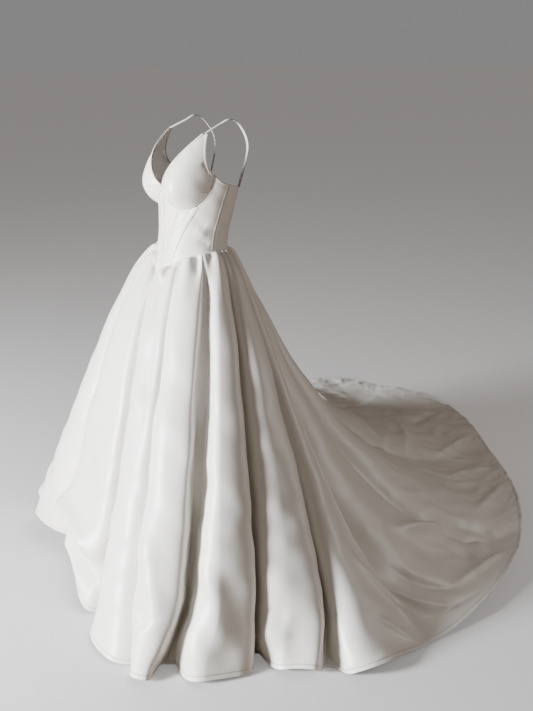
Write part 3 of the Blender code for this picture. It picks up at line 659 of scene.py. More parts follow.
def panel_points(panel, sizes):
    """A bodice panel: the torso, creased, raised beside its seams and rolled in at its edges.

    lift = creases + welt sin^2(pi gap / welt_width) - roll (1 - gap / roll_width)^2.
    """
    flat = patch(*panel[1:5], crowded(panel.columns), crowded(panel.rows))
    angle, height = flat[..., 0], flat[..., 1]
    points, normal = torso(angle, height), torso_normal(angle, height)
    gap = edge_distance(points)
    lift = crease_lift(points, TORSO_CREASES, torso)
    lift += sizes.welt * np.sin(np.pi * np.clip(gap / sizes.welt_width, 0.0, 1.0)) ** 2
    lift -= sizes.seam_roll * np.clip(1.0 - gap / sizes.roll_width, 0.0, 1.0) ** 2
    lift += uneven(waves, points, BODICE_WAVE, sizes)
    return points + normal * lift[..., None]


# ---------------------------------------------------------------- skirt
def fold_directions(place, kind):
    """Direction in degrees of a place counted in folds, at the waist or at the hem."""
    count = len(FOLDS)
    stations = np.arange(-1, count + 2)
    values = np.array([FOLD_COLUMNS[kind][i % count] + 360.0 * (i // count) for i in stations])
    return np.interp(place, stations, values)


def fold_column(place, kind):
    """A fold column blended evenly between the two troughs beside a place."""
    count = len(FOLDS)
    values = np.array([*FOLD_COLUMNS[kind], FOLD_COLUMNS[kind][0], FOLD_COLUMNS[kind][1]])
    return np.interp(np.mod(place, count), np.arange(count + 2), values)


def own_trough(place, kind):
    """A fold column's value at the trough nearest to a place."""
    return np.array(FOLD_COLUMNS[kind])[np.mod(np.round(place).astype(int), len(FOLDS))]


def crispness(place):
    """How steep the side of the nearest trough is, on the side the place lies on."""
    beyond = place > np.round(place)
    return np.where(beyond, own_trough(place, "after"), own_trough(place, "before"))


def trough_flat(place, down):
    """Breadth of the level bottom after the nearest trough, which narrows between waist and hem."""
    first, last = FLAT_STATIONS
    middle = own_trough(place, "flat") * (1.0 - FLAT_LOSS * ease((down - first) / (last - first)))
    at_hem = ease((down - FLAT_HEM_START) / (1.0 - FLAT_HEM_START))
    return mix(middle, own_trough(place, "flat_hem"), at_hem) * ease(down / FLAT_OPEN)


def fold_wave(place, down):
    """1 in a trough and 0 on a pipe: 1 - (1 - (1 - u)^2)^(1/crispness), averaged over 5 places.

    u runs from 0 where the trough's level bottom ends to 1 on top of the pipe.
    """
    total = 0.0
    for shift in np.linspace(-FOLD_BLUR, FOLD_BLUR, FOLD_BLUR_PLACES):
        here = place + shift
        gap = here - np.round(here)
        flat = np.where(gap > 0.0, trough_flat(here, down), 0.0)
        u = np.clip((np.abs(gap) - flat) / (0.5 - flat), 0.0, 1.0)
        total = total + 1.0 - (1.0 - (1.0 - u) ** 2) ** (1.0 / crispness(here))
    return total / FOLD_BLUR_PLACES


def fold_share(place, down):
    """How much of its depth a fold has: it opens below the waist and partly closes at the hem."""
    start = fold_column(place, "start")
    opened = ease((down - start) / (1.0 - start)) ** FOLD_OPENING_POWER
    share = FOLD_WAIST_SHARE * ease(down / FOLD_WAIST_END) + (1.0 - FOLD_WAIST_SHARE) * opened
    closing = ease((down - FOLD_CLOSING) / (1.0 - FOLD_CLOSING))
    return share * mix(1.0, fold_column(place, "kept"), closing)


def drop_column(direction, name):
    """A drop column's value at a hem direction in degrees."""
    return around(direction, DROP_COLUMNS["angle"], DROP_COLUMNS[name])


def skirt_base(place, down):
    """The skirt without its folds: a cubic Bezier from the waist edge to the hem."""
    waist_turn = fold_directions(place, "waist")
    hem_turn = fold_directions(place, "hem")
    kicked = ease((down - KICK_START) / (1.0 - KICK_START))
    hem_turn = hem_turn + fold_column(place, "kick") * kicked
    folded = np.abs(np.mod(waist_turn + 180.0, 360.0) - 180.0)
    edge = smooth_column(folded, EDGE_COLUMNS["angle"], EDGE_COLUMNS["waist"]) + SKIRT_RISE
    side = np.where(np.mod(waist_turn, 360.0) > 180.0, -1.0, 1.0)
    start = torso(folded * side, edge) - ray(waist_turn) * SKIRT_TUCK
    drop = {name: drop_column(hem_turn, name) for name in Drop._fields[1:]}
    shoulder = start + ray(waist_turn) * drop["out"][..., None]
    shoulder[..., 2] -= drop["down"]
    land = ray(hem_turn + fold_column(place, "bow")) * drop["land_radius"][..., None]
    land[..., 2] = drop["land_height"]
    hem = ray(hem_turn) * drop["hem_radius"][..., None]
    hem[..., 2] = FLOOR + HEM_CLEARANCE + drop["hem_rise"]
    part = down[..., None]
    return (
        start * (1 - part) ** 3
        + 3 * shoulder * part * (1 - part) ** 2
        + 3 * land * part**2 * (1 - part)
        + hem * part**3
    )


def base_normal(place, down):
    """Outward unit normal of the skirt without its folds."""
    return -normal_of(skirt_base, place, down, SKIRT_STEP, SKIRT_STEP, 0.0, 1.0)


def folded_skirt(place, down):
    """The pleated skirt: the base moved in along its normal by depth x (wave - level), and out by pleats.

    level is how far the cloth faces up, so that folds on the floor rise instead of sinking. Places
    are drawn together towards each trough by a sine.
    """
    gap = place - np.round(place)
    share = fold_share(place, down)
    pinch = FOLD_PINCH * (crispness(place) - FOLD_PINCH_FREE)
    pinch = pinch * np.clip(share * FOLD_PINCH_ONSET, 0.0, 1.0)
    moved = place - pinch * np.sin(2 * np.pi * gap)
    normal = base_normal(moved, down)
    level = np.clip(normal[..., 2], 0.0, 1.0) ** 2
    depth = fold_column(place, "depth") * share
    wander = PLEAT_WANDER * np.sin(PLEAT_WANDER_TURNS * place)
    pleats = np.cos(2 * np.pi * PLEATS_PER_FOLD * place + wander)
    fade = ease((down - SKIRT_TUCK_END / 2) / SKIRT_TUCK_END) * (1.0 - ease(down / PLEAT_END))
    lift = depth * (level - fold_wave(place, down)) + PLEAT_DEPTH * pleats * fade
    return skirt_base(moved, down) + normal * lift[..., None]


def train_share(place, down):
    """0 on the standing skirt and 1 on the part of the train that lies on the floor."""
    radius = drop_column(fold_directions(place, "hem"), "hem_radius")
    near, far = TRAIN_RADII
    first, last = TRAIN_STATIONS
    return ease((radius - near) / (far - near)) * ease((down - first) / (last - first))


def above_floor(points):
    """Lifts what would sink below the floor: z = least + soft log(1 + exp(height / soft))."""
    least = FLOOR + HEM_CLEARANCE
    height = (points[..., 2] - least) / FLOOR_SOFTNESS
    soft = np.log1p(np.exp(np.clip(height, *SOFT_RANGE)))
    raised = np.where(height > SOFT_RANGE[1], height, soft)
    return np.concatenate([points[..., :2], (least + raised * FLOOR_SOFTNESS)[..., None]], -1)


def skirt_points(place, down, sizes):
    """The skirt with its creases, its soft unevenness and the crumpled train, above the floor."""
    points = folded_skirt(place, down)
    normal = -normal_of(folded_skirt, place, down, FOLDED_STEP, FOLDED_STEP, 0.0, 1.0)
    lift = crease_lift(points, SKIRT_CREASES, folded_skirt)
    for wave in SKIRT_WAVES:
        lift += uneven(waves, points, wave, sizes, down)
    train = train_share(place, down)
    for wave in TRAIN_CRUMPLES:
        lift += uneven(crumple, points, wave, sizes, down) * train
    ripple = np.clip((down - HEM_RIPPLE.start) / (HEM_RIPPLE.full - HEM_RIPPLE.start), 0.0, 1.0) ** 2
    ripple = ripple * (HEM_RIPPLE_STANDING + HEM_RIPPLE_TRAIN * train)
    lift += sizes.hem_ripple * crumple(points, HEM_RIPPLE.length, HEM_RIPPLE.seed) * ripple
    return above_floor(points + normal * lift[..., None])


def gore_places(gore, spacing):
    """Columns of a gore, one half fold after another, 0.5 t^crowding from each trough.

    After a trough with a level bottom they are nearly even, because its side begins further off.
    """
    places = [np.array([gore.start])]
    for middle in np.arange(gore.start, gore.end, 0.5) + 0.25:
        trough = round(middle)
        fold = FOLDS[trough % len(FOLDS)]
        after = middle > trough
        directions = fold_directions(np.array([middle - 0.25, middle + 0.25]), "hem")
        breadth = np.radians(np.ptp(directions)) * drop_column(directions, "hem_radius").mean()
        count = max(GORE_LEAST_COLUMNS, int(round((breadth + fold.depth) / spacing)))
        crowding = GORE_CROWDING_LEVEL if after and fold.flat >= LEVEL_BOTTOM else GORE_CROWDING
        gaps = 0.5 * np.linspace(0.0, 1.0, count + 1) ** crowding
        places.append((trough + gaps if after else trough - gaps[::-1])[1:])
    return np.concatenate(places)


# ---------------------------------------------------------------- straps and trims
def strap_columns():
    """The strap rows between its two feet, on the upper cup and on the back edge."""
    front_height = NECK_HEAD[1] + STRAP_FOOT_OVERLAP
    back_height = smooth_column(STRAP_BACK_ANGLE, EDGE_COLUMNS["angle"], EDGE_COLUMNS["top"])
    front = StrapPoint(0.0, *torso(np.array(STRAP_FRONT_ANGLE), np.array(front_height)))
    back = StrapPoint(1.0, *torso(np.array(STRAP_BACK_ANGLE), back_height + STRAP_FOOT_OVERLAP))
    return columns((front, *STRAP, back))


def strap_points(across, along, width):
    """A folded strap over the shoulder: a curve through the rows, widened sideways and crowned."""
    rows = strap_columns()

    def centre(at):
        return np.stack([smooth_column(at, rows["along"], rows[axis]) for axis in "xyz"], -1)

    run = unit(centre(along + STRAP_STEP) - centre(along - STRAP_STEP))
    outward = unit(np.cross(np.array(STRAP_OUTWARD), run))
    sideways = unit(np.cross(run, outward))
    crown = STRAP_CROWN * (1.0 - (2 * across) ** 4)
    return centre(along) + sideways * (across * width)[..., None] + outward * crown[..., None]


# columns and rows are the strip's grid, start and end its share of the line, and shift how far it
# lies beside the line, as a share of its width.
Strip = namedtuple("Strip", "line setting crown columns rows start end shift")
STRIPS = {
    "channel_centre_front": Strip(
        bowed((0.0, -0.074), (0.0, 0.198)), "channel_width", CHANNEL_CROWN, 12, 90, 0.0, 1.0, 0.0
    ),
    "channel": Strip(seam_line(CHANNEL), "channel_width", CHANNEL_CROWN, 12, 80, 0.01, 0.97, 0.0),
    "neck_binding": Strip(NECK_LINE, "binding_width", BINDING_CROWN, 8, 90, 0.02, 1.0, 0.5),
    "arm_binding": Strip(cup_outer_edge, "binding_width", BINDING_CROWN, 8, 80, 0.26, 1.0, -0.5),
    "zip_tape_back": Strip(
        bowed((180.0, 0.026), (180.0, 0.186)), "tape_width", 0.0, 8, 40, 0.0, 1.0, 0.0
    ),
}


def trim_lift(sizes):
    """Gap between the middles of a bodice panel and of a trim that lies on it."""
    return (sizes.bodice_wall + sizes.trim_wall) / 2 + TRIM_GAP


def strip_points(name, sizes, lift):
    """A strip of even width along a line of the torso, lift + crown (1 - (2 across)^6) off it."""
    strip = STRIPS[name]
    width = getattr(sizes, strip.setting)
    across = np.linspace(-0.5, 0.5, strip.columns + 1)
    part = np.linspace(strip.start, strip.end, strip.rows + 1)
    here = strip.line(part)
    run = strip.line(np.clip(part + STRIP_STEP, 0, 1)) - strip.line(np.clip(part - STRIP_STEP, 0, 1))
    radius = np.linalg.norm(torso(here[..., 0], here[..., 1])[..., :2], axis=-1)
    flat = unit(np.stack([np.radians(run[..., 0]) * radius, run[..., 1]], -1))
    sideways = np.stack([flat[..., 1], -flat[..., 0]], -1)
    shifted = sideways[None] * (width * (across[:, None, None] + strip.shift))
    angle = here[..., 0] + np.degrees(shifted[..., 0] / radius)
    height = here[..., 1] + shifted[..., 1]
    off = lift + strip.crown * (1.0 - (2 * across[:, None]) ** 6) + 0.0 * angle
    return torso(angle, height) + torso_normal(angle, height) * off[..., None]


# ---------------------------------------------------------------- meshes and finish
def grid_normals(points, closed=False):
    """Unit normals of a grid, across x along; a closed grid repeats its first row as its last."""
    if closed:
        ring = np.concatenate([points[-2:-1], points, points[1:2]])
        across = np.gradient(ring, axis=0)[1:-1]
    else:
        across = np.gradient(points, axis=0)
    return unit(np.cross(across, np.gradient(points, axis=1)))


def shell_faces(wide, high):
    """Quads of a closed shell of two grids: outer layer, inner layer and the four rims."""
    outer = np.arange(wide * high).reshape(wide, high)
    inner = outer + wide * high

    def layer(index):
        return np.stack([index[:-1, :-1], index[1:, :-1], index[1:, 1:], index[:-1, 1:]], -1)

    def rim(edge, back):
        return np.stack([edge[:-1], back[:-1], back[1:], edge[1:]], -1)

    loop = np.concatenate([outer[:-1, 0], outer[-1, :-1], outer[:0:-1, -1], outer[0, ::-1]])
    under = loop + wide * high
    parts = [layer(outer), layer(inner)[..., ::-1], rim(loop, under)]
    return np.concatenate([part.reshape(-1, 4) for part in parts]).astype(np.int32)


def cloth_piece(name, points, wall, coat, normals=None):
    """A closed shell of cloth round a grid of points, with a UV map in metres.

    u is the distance across and v the distance from the last row, which is the hem or top edge.
    """
    wide, high = points.shape[:2]
    if normals is None:
        normals = grid_normals(points)
    quads = shell_faces(wide, high)
    layers = np.stack([points + normals * wall / 2, points - normals * wall / 2])
    mesh = bpy.data.meshes.new(name)
    mesh.vertices.add(layers.size // 3)
    mesh.vertices.foreach_set("co", layers.reshape(-1).astype(np.float32))
    mesh.loops.add(quads.size)
    mesh.loops.foreach_set("vertex_index", quads.reshape(-1))
    mesh.polygons.add(len(quads))
    mesh.polygons.foreach_set("loop_start", np.arange(0, quads.size, 4, dtype=np.int32))
    mesh.update(calc_edges=True)
    mesh.polygons.foreach_set("use_smooth", np.ones(len(quads), bool))
    u = run_lengths(points, 0).mean(axis=1, keepdims=True) + np.zeros((wide, high))
    walked = run_lengths(points, 1)
    flat = np.stack([u, walked[:, -1:] - walked], -1).reshape(-1, 2)
    cut = mesh.uv_layers.new(name="cut")
    pairs = np.concatenate([flat, flat])[quads.reshape(-1)]
    cut.data.foreach_set("uv", pairs.reshape(-1).astype(np.float32))
    facing = np.concatenate([normals.reshape(-1, 3), -normals.reshape(-1, 3)])
    mesh.normals_split_custom_set_from_vertices(facing.astype(np.float32))
    piece = bpy.data.objects.new(name, mesh)
    bpy.context.scene.collection.objects.link(piece)
    mesh.materials.append(coat)
    return piece


def declare(piece, node):
    """Fixes a piece to the frame and hides the solid it stands for."""
    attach(piece, "root")
    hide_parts(node)


def both_sides(name, points, wall, coat):
    """A piece on the wearer's left and its mirror image on the right."""
    left = cloth_piece("satin_" + name + "_left", points, wall, coat)
    declare(left, name + "_left")
    mirrored = (points * np.array([-1.0, 1.0, 1.0]))[::-1]
    right = cloth_piece("satin_" + name + "_right", mirrored, wall, coat)
    declare(right, name + "_right")


def node_at(tree, kind, x, y, **inputs):
    """A shader node at a place in the editor, with its inputs set by name."""
    made = tree.nodes.new(kind)
    made.location = (x, y)
    for name, value in inputs.items():
        made.inputs[name.replace("_", " ")].default_value = value
    return made


def new_coat(name):
    """A new material, its node tree and its main shader."""
    coat = bpy.data.materials.new(name)
    coat.use_nodes = True
    return coat, coat.node_tree, coat.node_tree.nodes["Principled BSDF"]


def colour_mix(tree, x, y, low=None, high=None):
    """A node that blends two colours, with either set to a plain one."""
    made = node_at(tree, "ShaderNodeMix", x, y)
    made.data_type = "RGBA"
    for socket, tone in (("A", low), ("B", high)):
        if tone is not None:
            made.inputs[socket].default_value = (*tone, 1.0)
    return made


def cut_map(tree, x, y):
    """The piece's own UV map, in metres across the cloth and up from its hem."""
    made = node_at(tree, "ShaderNodeUVMap", x, y)
    made.uv_map = "cut"
    return made


def satin_tone(tree, place, finish):
    """Sockets of the colour and roughness, which drift slowly over the cloth."""
    link = tree.links.new
    drift = node_at(tree, "ShaderNodeTexNoise", -1100, 300, Scale=3.0, Detail=2.0)
    link(place.outputs["Object"], drift.inputs["Vector"])
    tint = colour_mix(tree, -700, 300, finish.ivory, finish.ivory_shade)
    link(drift.outputs["Fac"], tint.inputs["Factor"])
    gloss = node_at(tree, "ShaderNodeMapRange", -700, 60)
    gloss.inputs["To Min"].default_value = finish.roughness + GLOSS_DRIFT[0]
    gloss.inputs["To Max"].default_value = finish.roughness + GLOSS_DRIFT[1]
    link(drift.outputs["Fac"], gloss.inputs["Value"])
    return tint.outputs["Result"], gloss.outputs["Result"]


def satin_weave(tree, place, cut, finish):
    """Socket of the normal: a fine diagonal weave over a soft crinkle."""
    link = tree.links.new
    crinkle = node_at(tree, "ShaderNodeTexNoise", -1100, -60, Scale=26.0, Detail=3.0, Roughness=0.55)
    link(place.outputs["Object"], crinkle.inputs["Vector"])
    weave = node_at(tree, "ShaderNodeTexWave", -1100, -360, Scale=finish.weave_scale)
    weave.bands_direction = "DIAGONAL"
    link(cut.outputs["UV"], weave.inputs["Vector"])
    soft = node_at(tree, "ShaderNodeBump", -400, -100, Strength=finish.crinkle, Distance=0.004)
    link(crinkle.outputs["Fac"], soft.inputs["Height"])
    fine = node_at(tree, "ShaderNodeBump", -200, -260, Strength=0.10, Distance=0.0002)
    link(weave.outputs["Fac"], fine.inputs["Height"])
    link(soft.outputs["Normal"], fine.inputs["Normal"])
    return fine.outputs["Normal"]


def stitched_hem(tree, cut, tone, normal, finish):
    """The colour and normal with a pressed, darker line at the hem depth from the lower edge."""
    link = tree.links.new
    split = node_at(tree, "ShaderNodeSeparateXYZ", -1100, -620)
    link(cut.outputs["UV"], split.inputs["Vector"])
    gap = node_at(tree, "ShaderNodeMath", -900, -620)
    gap.operation = "SUBTRACT"
    gap.inputs[1].default_value = finish.hem_depth
    link(split.outputs["Y"], gap.inputs[0])
    away = node_at(tree, "ShaderNodeMath", -720, -620)
    away.operation = "ABSOLUTE"
    link(gap.outputs["Value"], away.inputs[0])
    groove = node_at(tree, "ShaderNodeMapRange", -540, -620)
    groove.inputs["From Max"].default_value = HEM_LINE_WIDTH
    link(away.outputs["Value"], groove.inputs["Value"])
    pressed = node_at(tree, "ShaderNodeBump", 0, -420, Strength=0.8, Distance=0.0012)
    link(groove.outputs["Result"], pressed.inputs["Height"])
    link(normal, pressed.inputs["Normal"])
    stitched = colour_mix(tree, -300, 300, low=finish.stitch)
    link(groove.outputs["Result"], stitched.inputs["Factor"])
    link(tone, stitched.inputs["B"])
    return stitched.outputs["Result"], pressed.outputs["Normal"]


def satin_material(name, finish, hemmed):
    """Heavy ivory satin, with a stitched hem line on the skirt."""
    coat, tree, shader = new_coat(name)
    shader.inputs["Sheen Weight"].default_value = finish.sheen
    shader.inputs["Sheen Roughness"].default_value = SHEEN_ROUGHNESS
    shader.inputs["Specular IOR Level"].default_value = finish.specular
    place = node_at(tree, "ShaderNodeTexCoord", -1400, 0)
    cut = cut_map(tree, -1400, -360)
    tone, gloss = satin_tone(tree, place, finish)
    normal = satin_weave(tree, place, cut, finish)
    if hemmed:
        tone, normal = stitched_hem(tree, cut, tone, normal, finish)
    tree.links.new(gloss, shader.inputs["Roughness"])
    tree.links.new(tone, shader.inputs["Base Color"])
    tree.links.new(normal, shader.inputs["Normal"])
    return coat


def tape_material(name, finish):
    """Woven zip tape: matt ivory with a fine rib."""
    coat, tree, shader = new_coat(name)
    shader.inputs["Base Color"].default_value = (*finish.tape, 1.0)
    shader.inputs["Roughness"].default_value = TAPE_ROUGHNESS
    rib = node_at(tree, "ShaderNodeTexWave", -600, -200, Scale=320.0)
    tree.links.new(cut_map(tree, -800, -200).outputs["UV"], rib.inputs["Vector"])
    bump = node_at(tree, "ShaderNodeBump", -300, -200, Strength=0.4, Distance=0.0003)
    tree.links.new(rib.outputs["Fac"], bump.inputs["Height"])
    tree.links.new(bump.outputs["Normal"], shader.inputs["Normal"])
    return coat


def kept_material(name, make):
    """The named material, made the first time that it is asked for."""
    return bpy.data.materials.get(name) or make(name)


def satin(context):
    """The satin of the bodice, cups and trims."""
    return kept_material(
        "satin", lambda name: satin_material(name, context.scene.dress_finish, hemmed=False)
    )


def hemmed_satin(context):
    """The satin of the skirt, with its stitched hem line."""
    return kept_material(
        "satin_hemmed", lambda name: satin_material(name, context.scene.dress_finish, hemmed=True)
    )


# ---------------------------------------------------------------- settings
def length(name, description, default):
    """A size in metres."""
    return FloatProperty(name=name, description=description, default=default, unit="LENGTH")


def colour(name, description, default):
    """A colour with parts from 0 to 1."""
    return FloatVectorProperty(
        name=name, description=description, default=default, subtype="COLOR", min=0.0, max=1.0
    )


class DressSizes(bpy.types.PropertyGroup):
    """Sizes of the cloth and its folds."""

    bodice_wall: length("Bodice wall", "Thickness of the bodice", 0.0015)
    skirt_wall: length("Skirt wall", "Thickness of the skirt", 0.0016)
    trim_wall: length("Trim wall", "Thickness of channels and bindings", 0.0010)
    seam_roll: length("Seam roll", "How far a panel's edge turns in at a seam", 0.0024)
    roll_width: length("Roll width", "Breadth of the turned edge", 0.0045)
    welt: length("Welt", "How far the cloth rises beside a seam", 0.0007)
    welt_width: length("Welt width", "Breadth of the rise beside a seam", 0.0080)
    body_softness: length("Bodice softness", "Unevenness of the bodice", 0.00035)
    channel_width: length("Channel width", "Width of a bone channel", 0.0115)
    binding_width: length("Binding width", "Width of the edge bindings", 0.0045)
    strap_width: length("Strap width", "Width of the shoulder straps", 0.0110)
    tape_width: length("Tape width", "Width of the zip tape", 0.0240)
    softness: length("Skirt softness", "Slow unevenness of the skirt", 0.0022)
    train_crumple: length("Train crumple", "Height of the train's crumples", 0.0016)
    hem_ripple: length("Hem ripple", "Height of the small wrinkles at the hem", 0.0030)
    column_spacing: length("Column spacing", "Skirt grid spacing around the hem", 0.0095)
    skirt_rows: IntProperty(
        name="Skirt rows", description="Skirt grid rows from waist to hem", default=190
    )


class DressFinish(bpy.types.PropertyGroup):
    """Colours and gloss of the satin."""

    ivory: colour("Ivory", "Lighter satin tone", (0.880, 0.870, 0.835))
    ivory_shade: colour("Ivory shade", "Deeper satin tone", (0.845, 0.830, 0.785))
    stitch: colour("Stitching", "Colour of the hem line", (0.60, 0.57, 0.51))
    tape: colour("Tape", "Colour of the zip tape", (0.80, 0.77, 0.70))
    roughness: FloatProperty(name="Roughness", description="Satin roughness", default=0.38)
    sheen: FloatProperty(name="Sheen", description="Satin sheen", default=0.25)
    specular: FloatProperty(name="Specular", description="Satin specular level", default=0.55)
    crinkle: FloatProperty(name="Crinkle", description="Strength of the soft crinkle", default=0.10)
    weave_scale: FloatProperty(
        name="Weave scale", description="Weave bands across a metre", default=560.0
    )
    hem_depth: length("Hem depth", "Distance of the hem stitching from the edge", 0.012)


class DressStage(bpy.types.PropertyGroup):
    """Camera, light and floor."""

    camera_place: FloatVectorProperty(
        name="Camera place", description="Camera location", subtype="XYZ", default=(2.517, -1.227, 0.600)
    )
    camera_pitch: FloatProperty(
        name="Camera pitch", description="Camera tilt", subtype="ANGLE", default=math.radians(71.3)
    )
    camera_heading: FloatProperty(
        name="Camera heading", description="Camera turn", subtype="ANGLE", default=math.radians(59.4)
    )
    lens: FloatProperty(name="Lens", description="Focal length in millimetres", default=45.57)
    key_power: FloatProperty(name="Key power", description="Window light in watts", default=700.0)
    fill_power: FloatProperty(name="Fill power", description="Warm fill in watts", default=16.0)
    surround: FloatProperty(name="Surround", description="Strength of the even light", default=0.075)
    surround_colour: colour("Surround colour", "Colour of the even light", (1.0, 0.75, 0.56))
    floor_glow: FloatProperty(name="Floor glow", description="Evens the floor's look", default=0.34)
    bounce_colour: colour("Bounce", "Colour of the light the floor gives back", (0.26, 0.19, 0.14))
    backdrop: FloatProperty(name="Backdrop", description="Brightness of the far wall", default=0.40)
    floor_colour: colour("Floor colour", "Plain floor", (0.60, 0.60, 0.60))
    floor_size: length("Floor size", "Half its side", 80.0)


# ---------------------------------------------------------------- operators
class DRESS_OT_bodice(bpy.types.Operator):
    """Builds the ten bodice panels on the torso surface"""

    bl_idname = "dress.bodice"
    bl_label = "Bodice panels"

    def execute(self, context):
        sizes = context.scene.dress_sizes
        for panel in BODICE_PANELS:
            both_sides(panel.name, panel_points(panel, sizes), sizes.bodice_wall, satin(context))
        return {"FINISHED"}


class DRESS_OT_cups(bpy.types.Operator):
    """Builds the upper and lower cup panels"""

    bl_idname = "dress.cups"
    bl_label = "Cups"

    def execute(self, context):
        sizes = context.scene.dress_sizes
        for panel in CUP_PANELS:
            both_sides(panel.name, panel_points(panel, sizes), sizes.bodice_wall, satin(context))
        return {"FINISHED"}


class DRESS_OT_channels(bpy.types.Operator):
    """Builds the raised bone channels at the centre front and over the side-front seams"""

    bl_idname = "dress.channels"
    bl_label = "Bone channels"

    def execute(self, context):
        sizes = context.scene.dress_sizes
        coat = satin(context)
        lift = trim_lift(sizes)
        points = strip_points("channel_centre_front", sizes, lift)
        piece = cloth_piece("satin_channel_centre_front", points, sizes.trim_wall, coat)
        declare(piece, "channel_centre_front")
        both_sides("channel", strip_points("channel", sizes, lift), sizes.trim_wall, coat)
        return {"FINISHED"}


class DRESS_OT_bindings(bpy.types.Operator):
    """Builds the narrow bindings along the neckline and the armholes"""

    bl_idname = "dress.bindings"
    bl_label = "Edge bindings"

    def execute(self, context):
        sizes = context.scene.dress_sizes
        for name in ("neck_binding", "arm_binding"):
            points = strip_points(name, sizes, trim_lift(sizes))
            both_sides(name, points, sizes.trim_wall, satin(context))
        return {"FINISHED"}


class DRESS_OT_straps(bpy.types.Operator):
    """Builds the two shoulder straps"""

    bl_idname = "dress.straps"
    bl_label = "Straps"

    def execute(self, context):
        sizes = context.scene.dress_sizes
        across, along = np.meshgrid(
            np.linspace(-0.5, 0.5, 13), np.linspace(0.0, 1.0, 121), indexing="ij"
        )
        points = strap_points(across, along, sizes.strap_width)
        both_sides("strap", points, sizes.bodice_wall, satin(context))
        return {"FINISHED"}


class DRESS_OT_closing(bpy.types.Operator):
    """Builds the tape of the concealed zip behind the centre back seam"""

    bl_idname = "dress.closing"
    bl_label = "Zip tape"

    def execute(self, context):
        sizes = context.scene.dress_sizes
        tape = kept_material("zip_tape", lambda name: tape_material(name, context.scene.dress_finish))
        points = strip_points("zip_tape_back", sizes, -trim_lift(sizes) - TAPE_DROP)
        piece = cloth_piece("tape_zip_back", points, sizes.trim_wall, tape)
        declare(piece, "zip_tape_back")
        return {"FINISHED"}


class DRESS_OT_skirt(bpy.types.Operator):
    """Builds the ten gores of the pleated skirt and its train"""

    bl_idname = "dress.skirt"
    bl_label = "Skirt and train"

    def execute(self, context):
        sizes = context.scene.dress_sizes
        down = np.linspace(0.0, 1.0, sizes.skirt_rows + 1)
        runs = [gore_places(gore, sizes.column_spacing) for gore in RING_OF_GORES]
        places = np.concatenate([runs[0], *[run[1:] for run in runs[1:]]])
        place, depth = np.meshgrid(places, down, indexing="ij")
        points = skirt_points(place, depth, sizes)
        points[-1] = points[0]
        normals = -grid_normals(points, closed=True)
        first = 0
        for gore, run in zip(RING_OF_GORES, runs):
            own = slice(first, first + len(run))
            first += len(run) - 1
            piece = cloth_piece(
                "satin_" + gore.name, points[own][::-1], sizes.skirt_wall, hemmed_satin(context),
                normals[own][::-1],
            )
            declare(piece, gore.name)
        return {"FINISHED"}


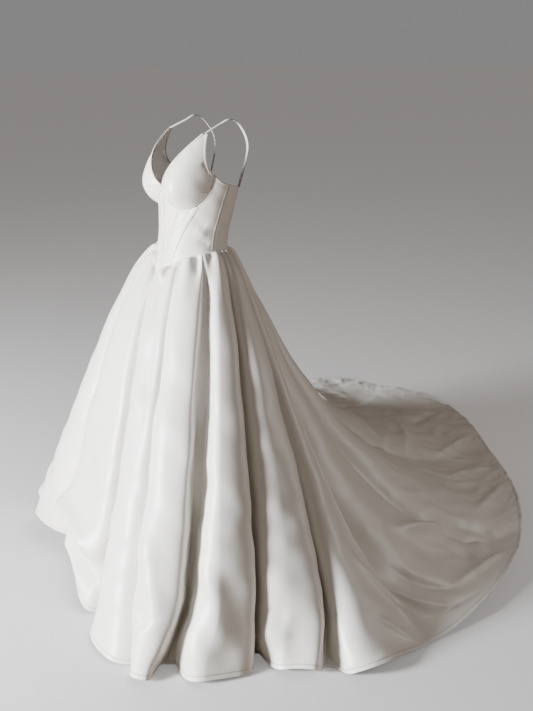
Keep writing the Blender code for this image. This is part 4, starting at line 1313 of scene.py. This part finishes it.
class DRESS_OT_studio(bpy.types.Operator):
    """Sets up the floor, the soft lights and the camera"""

    bl_idname = "dress.studio"
    bl_label = "Studio"

    def execute(self, context):
        stage = context.scene.dress_stage
        self.lay_floor(context, stage)
        self.hang_lights(context, stage)
        self.place_camera(context, stage)
        return {"FINISHED"}

    def lay_floor(self, context, stage):
        """A plain floor that looks even, and that gives back warm light to the shaded folds."""
        half = stage.floor_size
        mesh = bpy.data.meshes.new("floor")
        corners = [(-half, -half, FLOOR), (half, -half, FLOOR), (half, half, FLOOR), (-half, half, FLOOR)]
        mesh.from_pydata(corners, [], [(0, 1, 2, 3)])
        floor = bpy.data.objects.new("floor", mesh)
        context.scene.collection.objects.link(floor)
        paint, tree, shader = new_coat("floor_paint")
        shader.inputs["Base Color"].default_value = (*stage.floor_colour, 1.0)
        shader.inputs["Roughness"].default_value = FLOOR_ROUGHNESS
        shader.inputs["Emission Color"].default_value = (*stage.floor_colour, 1.0)
        shader.inputs["Emission Strength"].default_value = stage.floor_glow
        bounce = tree.nodes.new("ShaderNodeBsdfDiffuse")
        bounce.inputs["Color"].default_value = (*stage.bounce_colour, 1.0)
        seen = tree.nodes.new("ShaderNodeLightPath")
        either = tree.nodes.new("ShaderNodeMixShader")
        link = tree.links.new
        link(seen.outputs["Is Camera Ray"], either.inputs["Fac"])
        link(bounce.outputs["BSDF"], either.inputs[1])
        link(shader.outputs["BSDF"], either.inputs[2])
        link(either.outputs["Shader"], tree.nodes["Material Output"].inputs["Surface"])
        mesh.materials.append(paint)

    def hang_lights(self, context, stage):
        """The even light, the plain wall behind the floor and the four lamps."""
        world = bpy.data.worlds.new("studio")
        context.scene.world = world
        world.use_nodes = True
        surround = world.node_tree.nodes["Background"]
        surround.inputs["Color"].default_value = (*stage.surround_colour, 1.0)
        surround.inputs["Strength"].default_value = stage.surround
        wall = world.node_tree.nodes.new("ShaderNodeBackground")
        wall.inputs["Color"].default_value = (*stage.floor_colour, 1.0)
        wall.inputs["Strength"].default_value = stage.backdrop
        seen = world.node_tree.nodes.new("ShaderNodeLightPath")
        either = world.node_tree.nodes.new("ShaderNodeMixShader")
        link = world.node_tree.links.new
        link(seen.outputs["Is Camera Ray"], either.inputs["Fac"])
        link(surround.outputs["Background"], either.inputs[1])
        link(wall.outputs["Background"], either.inputs[2])
        link(either.outputs["Shader"], world.node_tree.nodes["World Output"].inputs["Surface"])
        for row in LAMPS:
            lamp = bpy.data.lights.new(row.name, "AREA")
            lamp.shape = "SQUARE"
            lamp.size = row.size
            lamp.energy = getattr(stage, row.source) * row.share
            lamp.color = row.colour
            holder = bpy.data.objects.new(row.name, lamp)
            context.scene.collection.objects.link(holder)
            holder.location = row.spot
            x, y, z = np.array(LAMP_AIM) - np.array(row.spot)
            holder.rotation_euler = (math.atan2(math.hypot(x, y), -z), 0.0, math.atan2(-x, y))

    def place_camera(self, context, stage):
        """The camera, at its place and turn."""
        eye = bpy.data.cameras.new("camera")
        eye.sensor_width = SENSOR_WIDTH
        eye.lens = stage.lens
        holder = bpy.data.objects.new("camera", eye)
        context.scene.collection.objects.link(holder)
        holder.location = stage.camera_place
        holder.rotation_euler = (stage.camera_pitch, 0.0, stage.camera_heading)
        context.scene.camera = holder


class VIEW3D_PT_dress(bpy.types.Panel):
    """Lists the dress's sizes, finish and pieces"""

    bl_label = "Wedding Dress"
    bl_idname = "VIEW3D_PT_dress"
    bl_space_type = "VIEW_3D"
    bl_region_type = "UI"
    bl_category = "Dress"

    def draw(self, context):
        for group in (context.scene.dress_sizes, context.scene.dress_finish, context.scene.dress_stage):
            box = self.layout.box()
            for name in group.__annotations__:
                box.prop(group, name)
        for operator in OPERATORS:
            self.layout.operator(operator.bl_idname)


OPERATORS = (
    DRESS_OT_bodice,
    DRESS_OT_cups,
    DRESS_OT_channels,
    DRESS_OT_bindings,
    DRESS_OT_straps,
    DRESS_OT_closing,
    DRESS_OT_skirt,
    DRESS_OT_studio,
)
CLASSES = (DressSizes, DressFinish, DressStage, *OPERATORS, VIEW3D_PT_dress)


def register():
    """Registers the classes and hangs the three groups of settings on the scene."""
    for made in CLASSES:
        bpy.utils.register_class(made)
    bpy.types.Scene.dress_sizes = PointerProperty(type=DressSizes)
    bpy.types.Scene.dress_finish = PointerProperty(type=DressFinish)
    bpy.types.Scene.dress_stage = PointerProperty(type=DressStage)


def unregister():
    """Takes the settings and the classes away again."""
    del bpy.types.Scene.dress_stage
    del bpy.types.Scene.dress_finish
    del bpy.types.Scene.dress_sizes
    for made in reversed(CLASSES):
        bpy.utils.unregister_class(made)


def main():
    """Registers the classes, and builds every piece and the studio."""
    register()
    for operator in OPERATORS:
        group, name = operator.bl_idname.split(".")
        getattr(getattr(bpy.ops, group), name)()


if __name__ == "__main__":
    main()
